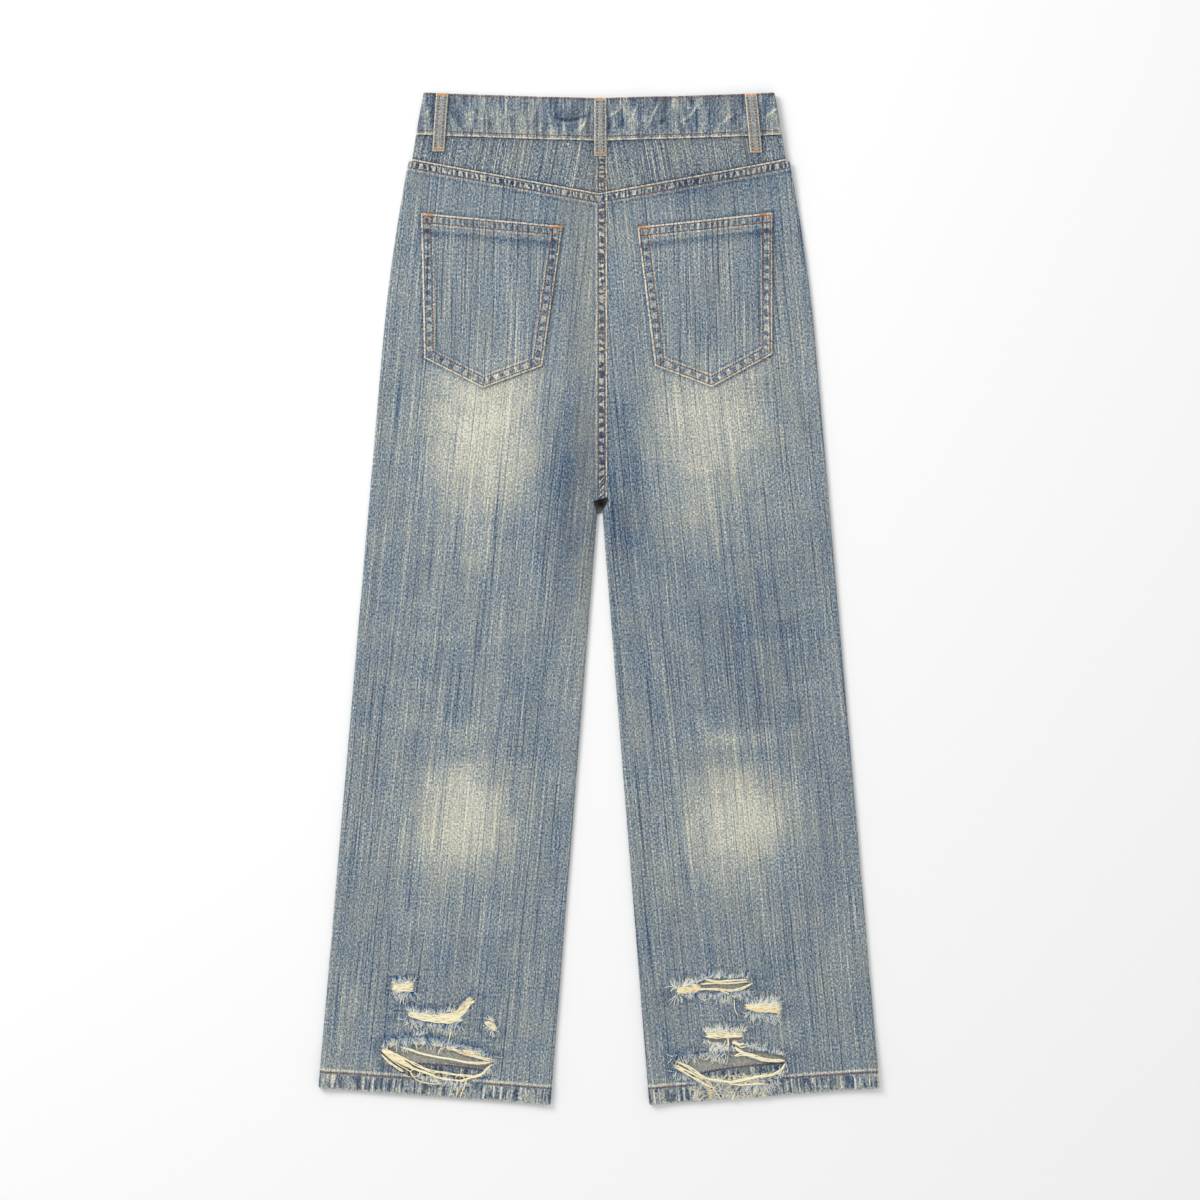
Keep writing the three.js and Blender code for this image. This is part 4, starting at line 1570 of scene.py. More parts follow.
def grains(centres, directions, lift, length, thick, up=1):
    """Rice grains: rings of 5 points whose radius is the sine of the way along.

    centres (n, 2) lie on the surface given by lift(x, y); each grain follows the surface."""
    ways = np.linspace(0, 1, 5)
    ring = np.radians(np.arange(5) * 72)
    radius = np.array([0.35, 0.95, 1.0, 0.95, 0.35]) * thick / 2
    along_path = (ways - 0.5) * length
    xy = centres[:, None, :] + directions[:, None, :] * along_path[None, :, None]
    z = lift(xy[..., 0], xy[..., 1]) + up * (0.1 * thick - 0.35 * thick * np.abs(ways - 0.5) * 2)
    spine = np.concatenate([xy, z[..., None]], axis=-1)
    side = np.stack([-directions[:, 1], directions[:, 0], 0 * directions[:, 0]], -1)
    rings = spine[:, :, None, :] + radius[None, :, None, None] * (
        np.cos(ring)[None, None, :, None] * side[:, None, None, :]
        + np.sin(ring)[None, None, :, None] * np.array([0, 0, 1.0])
    )
    return rings


def tube_faces(count, rings, sides):
    """Quads round each of count tubes and the caps at their two ends."""
    index = np.arange(count * rings * sides).reshape(count, rings, sides)
    turn = np.roll(index, -1, axis=2)
    quads = np.stack([index[:, :-1], turn[:, :-1], turn[:, 1:], index[:, 1:]], -1).reshape(-1, 4)
    caps = np.concatenate([index[:, 0, ::-1], index[:, -1, :]]).reshape(-1, sides)
    return [quads[:, ::-1], caps]


def upright(points, faces):
    """Turns all faces over if the tubes are inside out, by the sign of the first tube's volume."""
    quads = faces[0]
    centre = points.mean(axis=0)
    a, b, c, d = (points[quads[:, k]] - centre for k in range(4))
    halves = (np.cross(b, c), np.cross(c, d))
    volume = sum(np.einsum("ij,ij->i", a, half).sum() for half in halves)
    return faces if volume > 0 else [f[:, ::-1] for f in faces]


class ThreadPile:
    """Gathers tubes of one material and makes them one mesh."""

    def __init__(self, name, material, seed):
        self.name, self.material = name, material
        self.points, self.faces, self.tones, self.count = [], [], [], 0
        self.random = np.random.default_rng(seed)

    def add(self, rings, spread, tone):
        """Adds tubes given as rings, each with a tone drawn within spread of the one given."""
        count, along_count, sides, _ = rings.shape
        flat = rings.reshape(-1, 3)
        first = tube_faces(1, along_count, sides)
        turned = upright(flat[: along_count * sides], first)[0][0, 0] != first[0][0, 0]
        all_faces = tube_faces(count, along_count, sides)
        if turned:
            all_faces = [f[:, ::-1] for f in all_faces]
        self.points.append(flat)
        self.faces.append([f + self.count for f in all_faces])
        tones = tone + spread * self.random.uniform(-1, 1, (count, 1)) + np.zeros((1, along_count))
        self.tones.append(np.repeat(np.clip(tones, 0, 1).ravel(), sides))
        self.count += len(flat)

    def make(self):
        """One mesh of everything gathered, faces of one corner count after another."""
        groups = [f for group in self.faces for f in group]
        sizes = sorted({f.shape[1] for f in groups})
        faces = [np.concatenate([f for f in groups if f.shape[1] == n]) for n in sizes]
        values = {"tone": np.concatenate(self.tones)}
        return make_piece(
            self.name, np.concatenate(self.points), faces, [self.material], values=values
        )


print("a stitch is", STITCH, "mm long, one every", PITCH, "mm")

# %% [markdown]
# ## Where the rows run
#
# Each row keeps its distance from the fold that it holds down. The heights come from the same
# functions as the pieces, so the thread lies in the grooves that it pulls.

# %% Rows of stitches
seams = ThreadPile("copper_stitches", COPPER, 201)
tacks = ThreadPile("bar_tacks", ORANGE, 202)


def line_at(line, offset, x0, x1):
    """A path beside one of the garment's lines."""
    x = np.linspace(x0, x1, 60)
    return np.stack([x, line(x) + offset], -1)


def sunk(lift, depth, up):
    """Under the garment stitches sink into the cloth, so that it still lies flat."""
    return lambda x, y: lift(x, y) + depth * (up < 0)


def sew(path, lift, up=1):
    """One row of stitches along a path, on the surface lift."""
    centres, directions = walk(path, PITCH)
    thick = THICK if up > 0 else THICK_UNDER
    seams.add(grains(centres, directions, sunk(lift, 0.28, up), STITCH, thick, up), 0.4, 0.42)


def tack(x, y, length, angle, lift, up=1):
    """A bar tack: a close bar of short stitches across its own length."""
    c, s = np.cos(np.radians(angle)), np.sin(np.radians(angle))
    at = np.arange(-length / 2, length / 2, 0.62)
    centres = np.stack([x + at * c, y + at * s], -1)
    lean = np.radians(angle + 78)
    directions = np.tile([np.cos(lean), np.sin(lean)], (len(at), 1))
    tacks.add(grains(centres, directions, sunk(lift, 0.25, up), 2.3, 0.72, up), 0.35, 0.6)


leg_lift = {side: back_leg_relief(side) for _, side in SIDES}


def on_leg(side):
    """The outside of a back leg."""
    return lambda x, y: back_plain(x, y) + leg_lift[side](x, y)


def on_band(x, y):
    """The outside of the band at the back."""
    return back_plain(x, y) + BAND - CLOTH + band_relief(x, y)


def on_yoke(x, y):
    """The left yoke beside the centre seam."""
    return back_plain(x, y) + creases(x, y) + lapped_seam(SEAT_SEAM - x, y, 32, 0.6)


for _, side in SIDES:
    start = 9.5 * (side > 0) + 1.0
    span_x = side * np.array([start, 190.5])
    for row in (ROW_ONE, ROW_TWO):
        sew(line_at(yoke_seam, -row / YOKE_COS, *span_x), on_leg(side))
sew(line_at(band_top, -1.7, -176.5, 176.5), on_band)
sew(line_at(band_bottom, 4.2, -183.0, 183.0), on_band)
for row in (ROW_ONE + 0.5, ROW_TWO):
    x = SEAT_SEAM - row
    sew([(x, 404), (x, 106)], on_leg(-1))
    sew([(x, 466), (x, 417)], on_yoke)
for _, side in SIDES:
    # the two stretches of each hem that the large rip leaves
    stretches = ((inseam(-498) + 2, 98), (178, 283)) if side > 0 else ((52, 118), (170, 283))
    for x0, x1 in stretches:
        sew(line_at(hem_line, HEM_BAND, side * x0, side * x1), on_leg(side))


def inset(corners, distance):
    """The corners of an open chain moved inwards by distance from each straight edge."""
    corners = [np.array(c) for c in corners]
    centre = np.mean(corners, axis=0)
    lines = []
    for a, b in zip(corners[:-1], corners[1:]):
        tangent = (b - a) / np.hypot(*(b - a))
        normal = np.array([-tangent[1], tangent[0]])
        normal = normal if np.dot(centre - a, normal) > 0 else -normal
        lines.append((a + normal * distance, tangent))
    moved = [lines[0][0]]
    for (p, t), (q, u) in zip(lines[:-1], lines[1:]):
        step = np.linalg.solve(np.array([t, -u]).T, q - p)[0]
        moved.append(p + t * step)
    moved.append(corners[-1] + (lines[-1][0] - corners[-2]))
    return [tuple(m) for m in moved]


for word, side in SIDES:
    corners = pocket_edges(side)
    mouth = POCKETS[side][0]

    def on_pocket(x, y, side=side):
        return pocket_top(x, y, side)

    for row in (ROW_ONE, ROW_TWO + 0.6):
        path = inset(corners, row)
        path[0] = (path[0][0], along(*mouth)(path[0][0]) - 2.5)
        path[-1] = (path[-1][0], along(*mouth)(path[-1][0]) - 2.5)
        sew(path, on_pocket)
    for row in (ROW_ONE, ROW_TWO):
        x0, x1 = mouth[0][0] - side * 2.5, mouth[1][0] + side * 2.5
        sew(line_at(along(*mouth), -row, x0, x1), on_pocket)
    for end, way in ((mouth[0], -side), (mouth[1], side)):
        x = end[0] + way * 7.0
        tack(x, along(*mouth)(x) - 1.6, 11.5, -side * 3.0, on_pocket)
print("points of stitching so far:", seams.count)

# %% [markdown]
# ## Loops and the front
#
# The loops have a row down each side and a bar tack at each end. The rows of the front lie
# against the table: two round each scooped pocket, one along each hem, and the fly's curve.

# %% Stitches of the loops and the front
for word, (top, foot, up) in LOOPS.items():

    def on_loop(x, y, up=up):
        return loop_top(x, y) - 0.15 if up > 0 else 0 * x + 0.12

    for way in (-1, 1):
        shift = way * (LOOP_WIDTH / 2 - 3)
        sew([(top[0] + shift, top[1] - 3), (foot[0] + shift, foot[1] + 3)], on_loop, up=up)
    for y in (top[1] - 2.0, foot[1] + 3.2):
        x = mix(foot[0], top[0], (y - foot[1]) / (top[1] - foot[1]))
        tack(x, y, 8.6, 0, on_loop, up)


def under_front(x, y):
    """The outside of the fronts, which faces down."""
    return front_outside(x, y) + front_relief(x, y)


for _, side in SIDES:
    angle = np.radians(np.linspace(180, 272, 40))
    for away in (2.4, 9.0):
        scoop_x = side * (SCOOP[0] + (SCOOP[2] + away) * np.cos(angle))
        scoop_y = SCOOP[1] + (SCOOP[3] + away) * np.sin(angle)
        scoop_path = np.stack([scoop_x, scoop_y], -1)
        keep = scoop_path[:, 1] < front_band_bottom(scoop_path[:, 0]) - 2
        sew(scoop_path[keep], under_front, up=-1)
    front_hem_row = line_at(front_hem_line, FRONT_BAND - 2.0, side * 52, side * 283)
    sew(front_hem_row, lambda x, y: 0 * x + 0.1, up=-1)
fly_turn = np.radians(np.linspace(180, 268, 14))
for away in (0, 6):
    fly = [(-30 + away, 452)] + [
        (6 + (36 - away) * np.cos(a), 330 + (34 - away) * np.sin(a)) for a in fly_turn
    ]
    sew(fly, under_front, up=-1)
for row in (ROW_ONE, ROW_TWO):
    sew([(SEAT_SEAM - row, 452), (SEAT_SEAM - row, 94)], under_front, up=-1)
print("points of stitching so far:", seams.count)

# %% [markdown]
# The stitches of the front hem also show from above, through the rips, on the turned-up edge.

# %% Stitches inside the front hems


def inside_front_hem(x, y):
    """The top of the front's turned-up hem, inside the leg."""
    return front_outside(x, y) + HEM + 0.12


for _, side in SIDES:
    sew(line_at(front_hem_line, FRONT_BAND - 2.0, side * 70, side * 226), inside_front_hem)
print("points of stitching in all:", seams.count)

# %% [markdown]
# ## Loose threads
#
# Three kinds hang at the rips. Long bare weft yarns still cross the holes. Short bare weft
# fills the small patches where only the warp has gone. And along every edge the cut ends of
# the warp stand out as a fringe of pale and blue threads.

# %% Thread maker
weft = ThreadPile("bare_weft_threads", WEFT, 203)
fray = ThreadPile("frayed_edges", FRAY, 204)
random = np.random.default_rng(77)


def tubes(paths, radius, sides=5):
    """Round tubes along (n, k, 3) paths with (n, k) radii, each ring square to its path."""
    step = np.gradient(paths, axis=1)
    step = step / np.maximum(np.linalg.norm(step, axis=-1, keepdims=True), 1e-9)
    side = np.cross(step, np.array([0, 0, 1.0]))
    side = side / np.maximum(np.linalg.norm(side, axis=-1, keepdims=True), 1e-6)
    rise = np.cross(side, step)
    ring = np.radians(np.arange(sides) * 360 / sides)
    return paths[:, :, None, :] + radius[:, :, None, None] * (
        np.cos(ring)[None, None, :, None] * side[:, :, None, :]
        + np.sin(ring)[None, None, :, None] * rise[:, :, None, :]
    )


def along_curve(corners, count):
    """Points of a curve at even shares of its length, and the unit vectors square to it."""
    path = curve_through(corners, 60)
    length = np.concatenate([[0], np.cumsum(np.hypot(*np.diff(path, axis=0).T))])
    at = np.linspace(0, length[-1], count)
    base = np.stack([np.interp(at, length, path[:, 0]), np.interp(at, length, path[:, 1])], -1)
    step = np.gradient(base, axis=0)
    normal = np.stack([-step[:, 1], step[:, 0]], -1)
    return base, normal / np.linalg.norm(normal, axis=1, keepdims=True), length[-1]


STRAND_HEIGHT = 0.7
STRAND_TONE = 0.72


def strand(corners, width):
    """A loosely twisted bundle: yarns that wind round a curve, thinner towards its ends."""
    length = along_curve(corners, 9)[2]
    count = max(10, int(length / 2))
    base, normal, length = along_curve(corners, count)
    t = np.linspace(0, 1, count)
    yarns = max(1, int(round(width / 0.7)))
    turn = 2 * np.pi * (np.arange(yarns)[:, None] / yarns + t * length / random.uniform(22, 36))
    swell = 0.75 + 0.35 * cloud(40 * t + random.uniform(0, 900), 0 * t, 6, 5)
    swell = swell * smooth(np.minimum(t, 1 - t), -0.03, 0.12)
    reach = (0.5 * width - 0.3) * swell if yarns > 1 else 0 * t
    sway = reach * np.sin(turn + random.uniform(-0.5, 0.5, (yarns, 1)))
    xy = base + normal * sway[..., None]
    lift = STRAND_HEIGHT + 0.55 * reach * np.cos(turn) + 0.25 * np.sin(2 * np.pi * t * length / 45)
    dip = 1.1 * (1 - smooth(np.minimum(t, 1 - t), 0, 0.05))
    z = back_plain(xy[..., 0], xy[..., 1]) + lift - dip
    radius = np.broadcast_to(0.52 * (1 - 0.5 * np.abs(2 * t - 1) ** 12), xy.shape[:2])
    weft.add(tubes(np.concatenate([xy, z[..., None]], -1), radius), 0.3, STRAND_TONE)


print("thread piles:", weft.name, "and", fray.name)

# %% [markdown]
# ### Weft yarns across the holes
#
# Their points are given in millimetres, from the left end of each hole to its right.

# %% Long weft yarns
# The points that each strand runs through, and its width.
LONG_WEFT = [
    # left hem: the band under the fringe, the strand across the middle, then the lower bundles
    ([(-156, -456.5), (-145, -460), (-131, -464.5), (-117, -468.5), (-108, -469.5)], 4.4),
    ([(-204.5, -456), (-191.5, -459.5), (-182, -463), (-163.5, -467), (-149.5, -469),
      (-136, -472), (-122, -473), (-108, -471.5)], 2.8),
    ([(-222, -458.5), (-210, -463), (-198, -468.5), (-188.5, -473.5), (-173, -480.5),
      (-161, -482), (-147, -484.5), (-136, -485.5), (-124.5, -486), (-117, -482),
      (-108.5, -474)], 3.0),
    ([(-221, -460.5), (-205.5, -471), (-191.5, -477.5), (-176.5, -482.5), (-163.5, -487.5),
      (-149.5, -490), (-140.5, -490.5), (-131, -487.5), (-120, -483.5)], 2.8),
    ([(-222, -460), (-212, -465.5), (-200, -471.5), (-190, -477)], 3.4),
    ([(-222, -464), (-214.5, -471.5), (-208, -476), (-199.5, -481.5)], 2.6),
    ([(-131, -488), (-122, -485.5), (-115, -479), (-109, -474)], 2.0),
    # right hem: the two bands above, the long bundle below, and three on the lower left
    ([(138, -456.5), (146, -462), (155.5, -464.5), (164.5, -468.5), (174, -470), (190, -470.5)], 5.0),
    ([(138, -465.5), (146, -464), (155.5, -466), (164.5, -469), (180, -471)], 3.0),
    ([(191, -471), (186, -479.5), (178.5, -484), (169.5, -486), (160, -487), (146, -490.5),
      (134, -492), (123, -490.5), (109, -488), (95, -479.5), (87.5, -475), (77, -470.5)], 3.4),
    ([(134, -491.5), (146, -489.5), (160, -486.5), (172, -484.5)], 2.0),
    ([(77, -476.5), (86, -481.5), (95, -487), (104.5, -492.5), (115.5, -498)], 2.8),
    ([(77, -474.5), (90.5, -481), (100, -486), (107, -489)], 2.4),
    ([(132, -492.5), (138, -494.5), (151, -494.5), (164.5, -494), (175, -495)], 2.0),
    # the upper slit of the right leg
    ([(108, -387.5), (119, -389.5), (132, -389), (152, -388)], 2.2),
    ([(103, -392.5), (119, -391.5), (136, -391.5), (152, -390)], 2.0),
    ([(97, -398), (112, -397.5), (123, -398), (134, -399), (144.5, -397.5), (151, -394.5),
      (157, -391.5)], 2.8),
    ([(123, -399), (130.5, -401.5), (135, -403.5), (138.5, -406.5)], 1.6),
    # the short slit of the right leg
    ([(108.5, -446), (118.5, -446.5), (127.5, -446.5), (137, -446), (147, -446)], 3.4),
    ([(108.5, -449.5), (114, -452.5), (124, -454)], 1.6),
    ([(136, -451), (143.5, -454.5), (150, -455.5)], 5.0),
]
FINE_WEFT = [
    ([(-149.5, -432.5), (-151, -441), (-153.5, -450), (-156.5, -456.5)], 1.5),
    ([(-157, -457), (-161.5, -458.5), (-164.5, -464)], 0.7),
    ([(-214.5, -467), (-204.5, -474.5), (-193, -481), (-187.5, -488.5), (-180.5, -492),
      (-169, -494), (-160, -493.5)], 0.8),
    ([(-187, -478), (-192, -481), (-190, -486), (-184, -485.5), (-183, -480.5), (-188, -478.5)], 0.8),
    ([(-145, -489), (-144, -500.5), (-146, -508)], 1.4),
    ([(-134, -487), (-138.5, -499.5), (-142, -508)], 1.4),
    ([(-147, -488), (-141, -484), (-137, -490), (-143, -493)], 0.8),
    ([(107, -488.5), (113.5, -494.5), (119, -501.5), (125, -510.5)], 1.0),
    ([(138, -408), (138.5, -417.5), (141.5, -424.5)], 0.8),
    ([(131.5, -447), (132, -455.5), (129, -460)], 1.4), ([(129, -450), (128, -456), (133, -461)], 0.8),
    ([(161, -495), (157.5, -503.5)], 1.2), ([(138.5, -503), (136, -510.5)], 1.3),
]
for corners, width in LONG_WEFT + FINE_WEFT:
    strand(corners, width)
print(len(LONG_WEFT) + len(FINE_WEFT), "strands of weft")

# %% [markdown]
# ### Bare patches
#
# Where only the warp has worn away the weft still lies side by side. Each patch is filled with
# short parallel yarns, a little wavy, over the hole that the missing warp leaves.

# %% Bare patches
# The middle line of each patch, and its half widths along the way.
PATCHES = [
    ([(-212.8, -395.6), (-200.5, -395.4), (-188, -394.4)], (5.6, 4.6, 5.8)),
    ([(-196, -422), (-182, -425.5), (-163.5, -428), (-149.5, -428),
      (-139, -427)], (1.8, 3.6, 3.8, 4.2, 2.4)),
    ([(-164, -424.3), (-150, -424.8), (-143, -422.5), (-138.5, -418), (-135, -413),
      (-128.3, -407.2)], (0.8, 2.2, 3.6, 4.0, 3.4, 3.2)),
    ([(-117, -430.5), (-110.5, -435), (-104, -440)], (1.4, 4.0, 1.2)),
    ([(77.5, -400.5), (88, -399.5), (96, -397), (104, -395)], (2.4, 4.6, 5.2, 1.4)),
    ([(148.5, -414.5), (156.5, -416), (167, -416.8), (177, -416.6),
      (187, -417.5)], (1.4, 3.8, 4.4, 4.6, 6.0)),
    ([(108, -444.5), (120, -443.5), (134, -443), (148, -444.5)], (2.2, 2.4, 2.6, 2.0)),
    # the rows of bare weft that line the upper edges of the two large holes
    ([(-220, -455), (-204, -451.5), (-181.5, -452), (-159, -454.5), (-136, -459),
      (-109, -467)], (1.0, 2.0, 1.2, 1.6, 2.2, 1.2)),
    ([(-221, -458), (-215, -463), (-206, -468), (-196, -474)], (2.4, 3.2, 2.6, 1.2)),
]


def patch(corners, widths):
    """Bare yarns side by side along a curve, close enough to hide what is below."""
    base, normal, length = along_curve(corners, 40)
    count = int(2 * max(widths) / 0.62)
    t = np.linspace(0, 1, max(8, int(length / 2.2)))
    level = np.linspace(-1, 1, count)[:, None]
    spare = 2.4 / length * random.uniform(0, 1, (2, count, 1)) ** 2
    way = mix(spare[0], 1 - spare[1], t)
    half = np.interp(way, np.linspace(0, 1, len(widths)), widths)
    wave = random.uniform(0, 6.28, (count, 1))
    across = level * half + 0.34 * np.sin(2 * np.pi * way * length / 13 + wave)
    along_t = np.linspace(0, 1, 40)
    x = np.interp(way, along_t, base[:, 0]) + across * np.interp(way, along_t, normal[:, 0])
    y = np.interp(way, along_t, base[:, 1]) + across * np.interp(way, along_t, normal[:, 1])
    dip = 1.2 * (1 - smooth(np.minimum(t, 1 - t), 0, 0.06))
    z = back_plain(x, y) + 0.5 + 0.35 * np.sin(2 * np.pi * way * length / 17 + 2 * wave) - dip
    radius = np.broadcast_to(0.42 * (1 - 0.4 * np.abs(2 * t - 1) ** 10), x.shape)
    weft.add(tubes(np.stack([x, y, z], -1), radius, 4), 0.45, 0.78)


for corners, widths in PATCHES:
    patch(corners, widths)
print(len(PATCHES), "bare patches")

# %% [markdown]
# ### Fringes
#
# A fringe follows the edge of its rip. Each end starts at the edge and curls away from the hole
# over the cloth, or hangs into it, and lies where chance leaves it.

# %% Fringes
# The line that each fringe grows from, then threads per millimetre, length, way (up or down),
# tone at the root, tone at the tip. Tone 0 is blue and 1 is white.
FRINGES = [
    # left leg, from the top patch down
    ([(-213, -390.5), (-201, -391), (-188, -389.5)], 2.4, 6.5, 1, 0.65, 0.25),
    ([(-214, -400.5), (-202, -400.5), (-188, -400.5)], 2.6, 8.5, -1, 0.35, 0.85),
    ([(-197, -419.5), (-183, -421), (-164, -423), (-146, -419)], 2.4, 7.5, 1, 0.75, 0.2),
    ([(-196, -426), (-183, -430.5), (-164, -433), (-139, -432.5)], 2.8, 8.5, -1, 0.3, 0.9),
    ([(-140, -416), (-134, -407)], 1.2, 2.5, 1, 0.9, 0.6),
    ([(-117, -427), (-107, -431)], 2.2, 4.5, 1, 0.8, 0.4),
    ([(-116, -434), (-109, -440)], 3.2, 6.0, -1, 0.4, 0.95),
    ([(-220, -449), (-208, -446.5), (-196, -446), (-182, -445.5),
      (-164, -448)], 3.0, 11.5, -1, 0.12, 0.95),
    ([(-164, -448.5), (-150, -450), (-136, -454.5), (-122, -459),
      (-109, -464)], 3.4, 8.5, -1, 0.1, 0.9),
    ([(-190, -446), (-178, -444)], 2.0, 6.0, 1, 0.6, 0.7),
    ([(-221, -449), (-200, -446), (-164, -448.5), (-110, -464.5)], 1.3, 4.0, 1, 0.1, 0.25),
    ([(-186, -486), (-176, -491), (-160, -494), (-148, -494)], 1.8, 4.5, 1, 0.5, 0.85),
    ([(-150, -492), (-140, -493), (-128, -489)], 3.0, 6.0, -1, 0.4, 0.9),
    ([(-122, -486), (-110, -477)], 2.4, 5.5, -1, 0.5, 0.8),
    # right leg
    ([(77, -397), (90, -393), (101, -390.5)], 3.0, 9.5, 1, 0.8, 0.75),
    ([(104, -386.5), (120, -386), (136, -386), (153, -386)], 2.4, 9.0, 1, 0.75, 0.35),
    ([(78, -403), (92, -402), (110, -401), (130, -401.5), (154, -398)], 2.8, 9.5, -1, 0.3, 0.9),
    ([(150, -411.5), (165, -412), (185, -412.5)], 2.8, 8.5, 1, 0.75, 0.6),
    ([(150, -420), (165, -422), (187, -423.5)], 3.0, 9.5, -1, 0.35, 0.8),
    ([(108, -441.5), (128, -440.5), (149, -441)], 3.0, 6.5, 1, 0.9, 0.7),
    ([(106, -449), (118, -452), (132, -453)], 1.8, 6.5, -1, 0.6, 0.95),
    ([(78, -464.5), (92, -463.5), (108, -462), (132, -461)], 2.2, 9.5, -1, 0.1, 0.98),
    ([(112, -456), (124, -453), (136, -455)], 2.6, 9.0, -1, 0.6, 1.0),
    ([(78, -464.5), (92, -463.5), (108, -462)], 1.2, 2.5, 1, 0.1, 0.2),
    ([(148, -455), (160, -459), (174, -462), (190, -465)], 2.8, 7.0, 1, 0.5, 0.7),
    ([(76, -479), (90, -487), (106, -495)], 2.2, 6.5, -1, 0.3, 0.8),
    ([(150, -496), (166, -495), (180, -489), (190, -480)], 3.0, 7.5, -1, 0.4, 0.8),
    ([(190, -470), (193, -478)], 2.4, 6.0, -1, 0.5, 0.8),
]


FRINGE_THICK = 1.0
CROWD = 1.5  # threads grown for each one that the table asks for


def fringe(corners, density, length, way, root, tip):
    """Cut warp ends that start on a line, lie up or down over the cloth, lean and curl."""
    total = along_curve(corners, 9)[2]
    count = int(CROWD * density * total)
    base = along_curve(corners, 40)[0]
    at = random.uniform(0, 1, count)
    x = np.interp(at, np.linspace(0, 1, 40), base[:, 0])
    y = np.interp(at, np.linspace(0, 1, 40), base[:, 1]) + random.normal(0, 0.5, count)
    patchy = 0.85 + 0.45 * cloud(x + 900, 0 * x, 5, 46)
    angle = random.normal(0, 0.3, count) + 0.8 * cloud(x + 900, 0 * x, 6, 47)
    reach = length * random.uniform(0.55, 1.3, count) * patchy
    bend = random.normal(0, 0.8, count)
    t = np.linspace(0, 1, 5)
    heading = angle[:, None] + bend[:, None] * t
    step = reach[:, None] / 4
    side_steps, up_steps = step * np.sin(heading), step * np.cos(heading)
    px = x[:, None] + np.cumsum(side_steps, axis=1) - side_steps[:, :1]
    py = y[:, None] + way * (np.cumsum(up_steps, axis=1) - up_steps[:, :1])
    lift = random.uniform(0.2, 1.5, count)[:, None] * np.sin(np.pi * (0.1 + 0.8 * t))
    pz = back_plain(px, py) + 0.3 + lift
    radius = np.broadcast_to(FRINGE_THICK / 2 * (1 - 0.55 * t**2), px.shape)
    pick = np.where(random.uniform(0, 1, (count, 1)) < 0.3, -0.45, 0.16)
    fray.add(tubes(np.stack([px, py, pz], -1), radius, 3), 0.1, mix(root, tip, t) + pick)


for values in FRINGES:
    fringe(*values)
print(len(FRINGES), "fringes")

# %% [markdown]
# ### The frayed hem
#
# Below the right hole the hem itself has worn into a mat of short tangled threads.

# %% Frayed hem


def mat(pile, x0, x1, low, high, count, tone):
    """Tangled short threads over a strip of the hem."""
    x = random.uniform(x0, x1, count)
    y = hem_line(x) + random.uniform(low, high, count)
    angle = random.uniform(0, 2 * np.pi, count)
    t = np.linspace(-0.5, 0.5, 6)
    reach = random.uniform(2.5, 7.0, count)
    curl = random.normal(0, 0.9, count)
    c, s = np.cos(angle)[:, None], np.sin(angle)[:, None]
    bow = curl[:, None] * t**2
    px = x[:, None] + reach[:, None] * (t * c - bow * s)
    py = y[:, None] + reach[:, None] * (t * s + bow * c)
    py = np.maximum(py, hem_line(px) - 0.5)
    pz = back_plain(px, py) + 0.1 + random.uniform(0, 0.7, count)[:, None] * np.cos(np.pi * t)
    radius = np.broadcast_to(0.34 * (1 - 1.6 * t**2), px.shape)
    pick = np.where(random.uniform(0, 1, (count, 1)) < 0.3, -0.5, 0.1)
    pile.add(tubes(np.stack([px, py, pz], -1), radius, 3), 0.2, tone + pick)


# pile, from x, to x, from height over the hem, to height, threads, tone
MATS = [
    (fray, 96, 176, 1.0, 24.0, 520, 0.7), (weft, 96, 176, 1.0, 24.0, 260, 0.55),
    (fray, -184, -150, 12.0, 25.0, 120, 0.6), (weft, -184, -150, 12.0, 25.0, 60, 0.6),
    (fray, -150, -128, 2.0, 18.0, 60, 0.7),
]
for values in MATS:
    mat(*values)

thread_piles = [seams.make(), tacks.make(), weft.make(), fray.make()]
for pile in thread_piles:
    corners = np.array([len(face.vertices) for face in pile.data.polygons])
    print(pile.name, int((corners - 2).sum()), "triangles")

# %% [markdown]
# ## The waist button
#
# A plain shank button, turned like a small dish: a rolled rim, a groove and a low dome.

# %% Waist button


def turned_button(cx, cy, profile, sides=48):
    """A profile of radius and height carried once round the button's axis."""
    profile = np.asarray(profile, float)
    turn = np.linspace(0, 2 * np.pi, sides, endpoint=False)
    x = cx + profile[:, 0][:, None] * np.cos(turn)
    y = cy + profile[:, 0][:, None] * np.sin(turn)
    z = np.broadcast_to(profile[:, 1][:, None], x.shape)
    index = np.arange(x.size).reshape(x.shape)
    following = np.roll(index, -1, axis=1)
    quads = np.stack([index[:-1], following[:-1], following[1:], index[1:]], -1).reshape(-1, 4)
    points = np.stack([x, y, z], -1).reshape(-1, 3)
    return points, [quads[:, ::-1], index[:1, :], index[-1:, ::-1]]


def brass():
    """Dull brass, darker and rougher where it is tarnished."""
    material, tree, bsdf = new_material("aged brass", 0.5, 0.5)
    place = feed(tree, "ShaderNodeTexCoord").node.outputs["Object"]
    worn = noise(tree, place, (420, 420, 420), 3.0, 0.6)
    colour = blend(tree, span(tree, worn, -1, 1), srgb(92, 74, 46), srgb(176, 150, 96))
    tree.links.new(colour, bsdf.inputs["Base Color"])
    tree.links.new(span(tree, worn, -1, 1, 0.55, 0.32), bsdf.inputs["Roughness"])
    bsdf.inputs["Metallic"].default_value = 1.0
    return material


BRASS = brass()
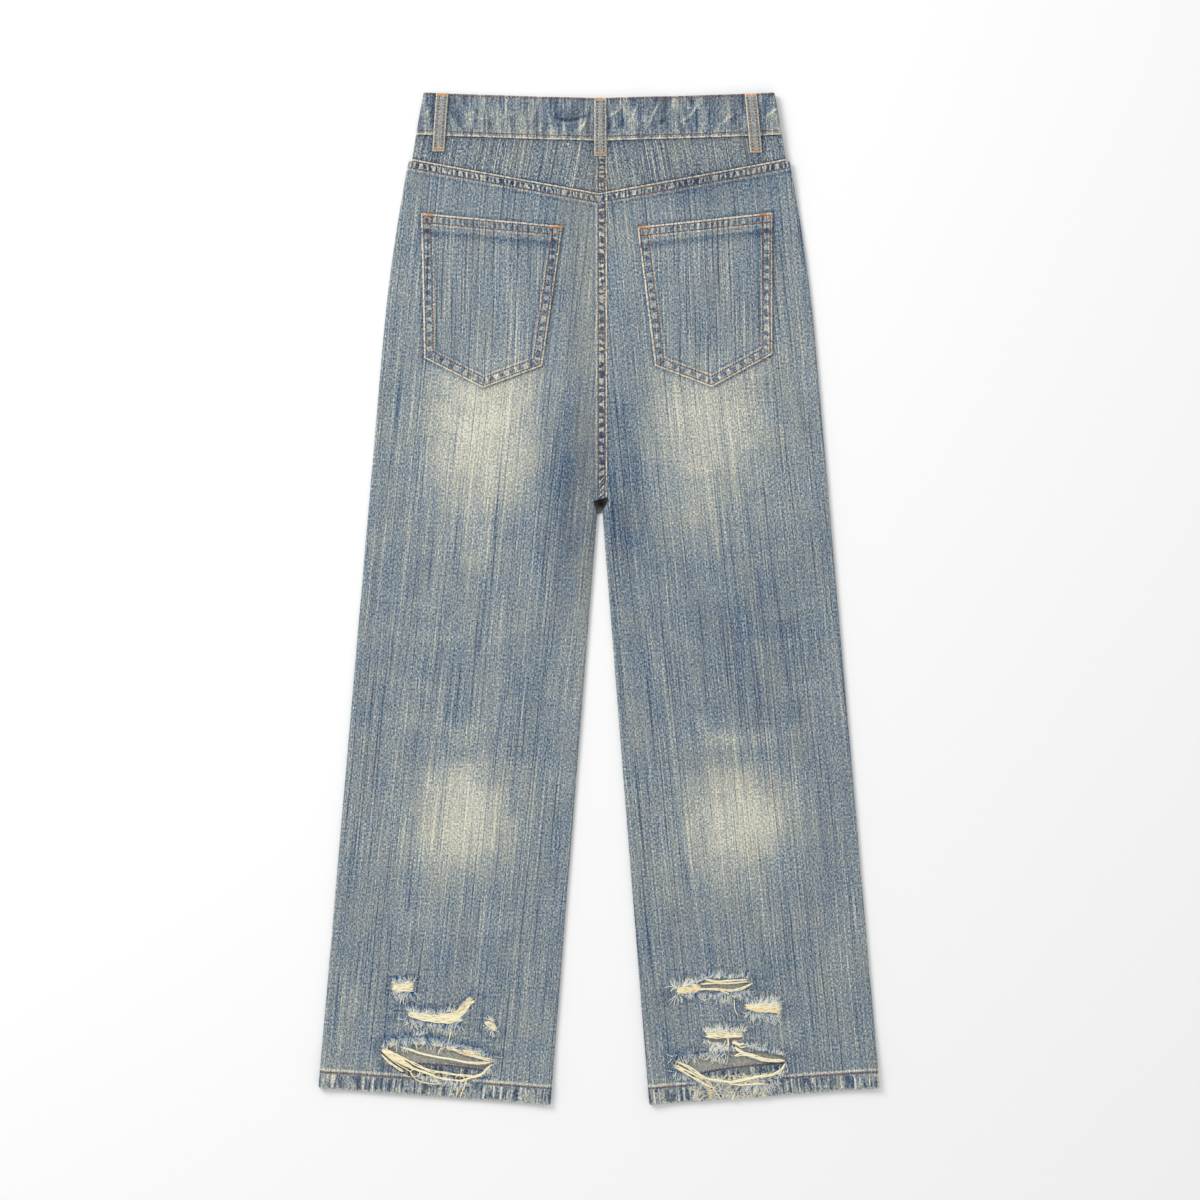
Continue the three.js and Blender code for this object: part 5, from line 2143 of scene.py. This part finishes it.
# radius and height, from the middle of the face that lies on the table round to the back
PROFILE = [
    (0.2, 0.5), (3.0, 0.45), (5.4, 0.6), (6.0, 0.75), (6.6, 0.15), (7.4, 0.0),
    (8.2, 0.3), (8.5, 1.0), (8.1, 1.7), (7.0, 2.0), (0.2, 2.0),
]
button_points, button_faces = turned_button(9, 477, PROFILE)
pieces["waist_button"] = make_piece("button_head", button_points, button_faces, [BRASS])
print("button:", len(button_points), "points")

# %% [markdown]
# ## Riding and replacing
#
# Nothing moves against anything else, so every piece rides on the one body. The cut of each
# sheet's cloth is listed in metres.

# %% Riding, replacing and the table of cuts
# Width, length and area of each cut as it lies flat: the solid's own outline, with the hem that
# is turned up and the cloth that rolls round the sides. The wearer's right side is narrower.
CUTS = {
    "back_leg_left": (0.295, 0.982, 0.2215), "back_leg_right": (0.283, 0.982, 0.216),
    "front_leg_left": (0.295, 1.0, 0.224), "front_leg_right": (0.281, 1.0, 0.218),
    "back_yoke_left": (0.199, 0.059, 0.0078), "back_yoke_right": (0.182, 0.057, 0.0069),
    "pocket_facing": (0.107, 0.078, 0.006), "back_pocket_left": (0.145, 0.179, 0.0212),
    "back_pocket_right": (0.138, 0.178, 0.0205), "waistband_back": (0.375, 0.046, None),
    "waistband_front": (0.21, 0.046, None), "belt_loop": (0.0122, 0.06, None),
}
RESTS = {
    "back_leg": ["front_leg"], "front_leg": [], "back_yoke": ["front_leg"], "pocket_facing": [],
    "back_pocket": ["back_leg"], "waistband_back": ["waistband_front_left"],
    "waistband_front": ["belt_loop_front"], "belt_loop_front": [], "belt_loop_back": ["waistband_back"],
}
PAIRED = ("front_leg", "back_leg", "belt_loop_front")


def entry(table, node):
    """The first row whose key the node's name starts with."""
    return next(value for key, value in table.items() if node.startswith(key))


for node, piece in pieces.items():
    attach(piece, "root")
    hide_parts(node)
for pile in thread_piles:
    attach(pile, "root")
for node, piece in pieces.items():
    if node == "waist_button":
        continue
    width, length, area = entry(CUTS, node)
    rests = entry(RESTS, node)
    side = node.rsplit("_", 1)[-1]
    rests = [f"{name}_{side}" if name in PAIRED else name for name in rests]
print(len(pieces), "pieces replace", len(pieces), "nodes, with", len(thread_piles), "piles of thread")

# %% [markdown]
# ## Floor, light and camera
#
# A pale floor, a broad soft light from the upper left that brings out the seams, and an even
# pale sky so that no shadow is dark. The camera looks straight down.

# %% Stage
REACH = 3000
corners = [[-REACH, -REACH, 0], [REACH, -REACH, 0], [REACH, REACH, 0], [-REACH, REACH, 0]]
paper, _, paper_bsdf = new_material("pale paper", 0.95, 0.5)
paper_bsdf.inputs["Base Color"].default_value = (0.93, 0.93, 0.93, 1)
floor = make_piece("floor", corners, [np.array([[0, 1, 2, 3]])], [paper])

scene = bpy.context.scene
world = bpy.data.worlds.new("pale sky")
world.use_nodes = True
sky = world.node_tree.nodes["Background"].inputs
sky["Color"].default_value = (1, 1, 1, 1)
sky["Strength"].default_value = 0.72
scene.world = world
scene.view_settings.view_transform = "Standard"

lamp = bpy.data.lights.new("window", "AREA")
lamp.shape = "DISK"
lamp.size = 1.6
lamp.energy = 62
window = bpy.data.objects.new("window", lamp)
window.location = (-1.9, 1.7, 2.1)
scene.collection.objects.link(window)
window.rotation_euler = Vector(-np.array(window.location)).to_track_quat("-Z", "Y").to_euler()

lens = bpy.data.cameras.new("camera")
lens.lens = 85
lens.sensor_width = 36
camera = bpy.data.objects.new("camera", lens)
camera.location = (0.001, -0.0005, 2.895)
scene.collection.objects.link(camera)
scene.camera = camera
print("camera", round(camera.location.z, 3), "m above the floor")
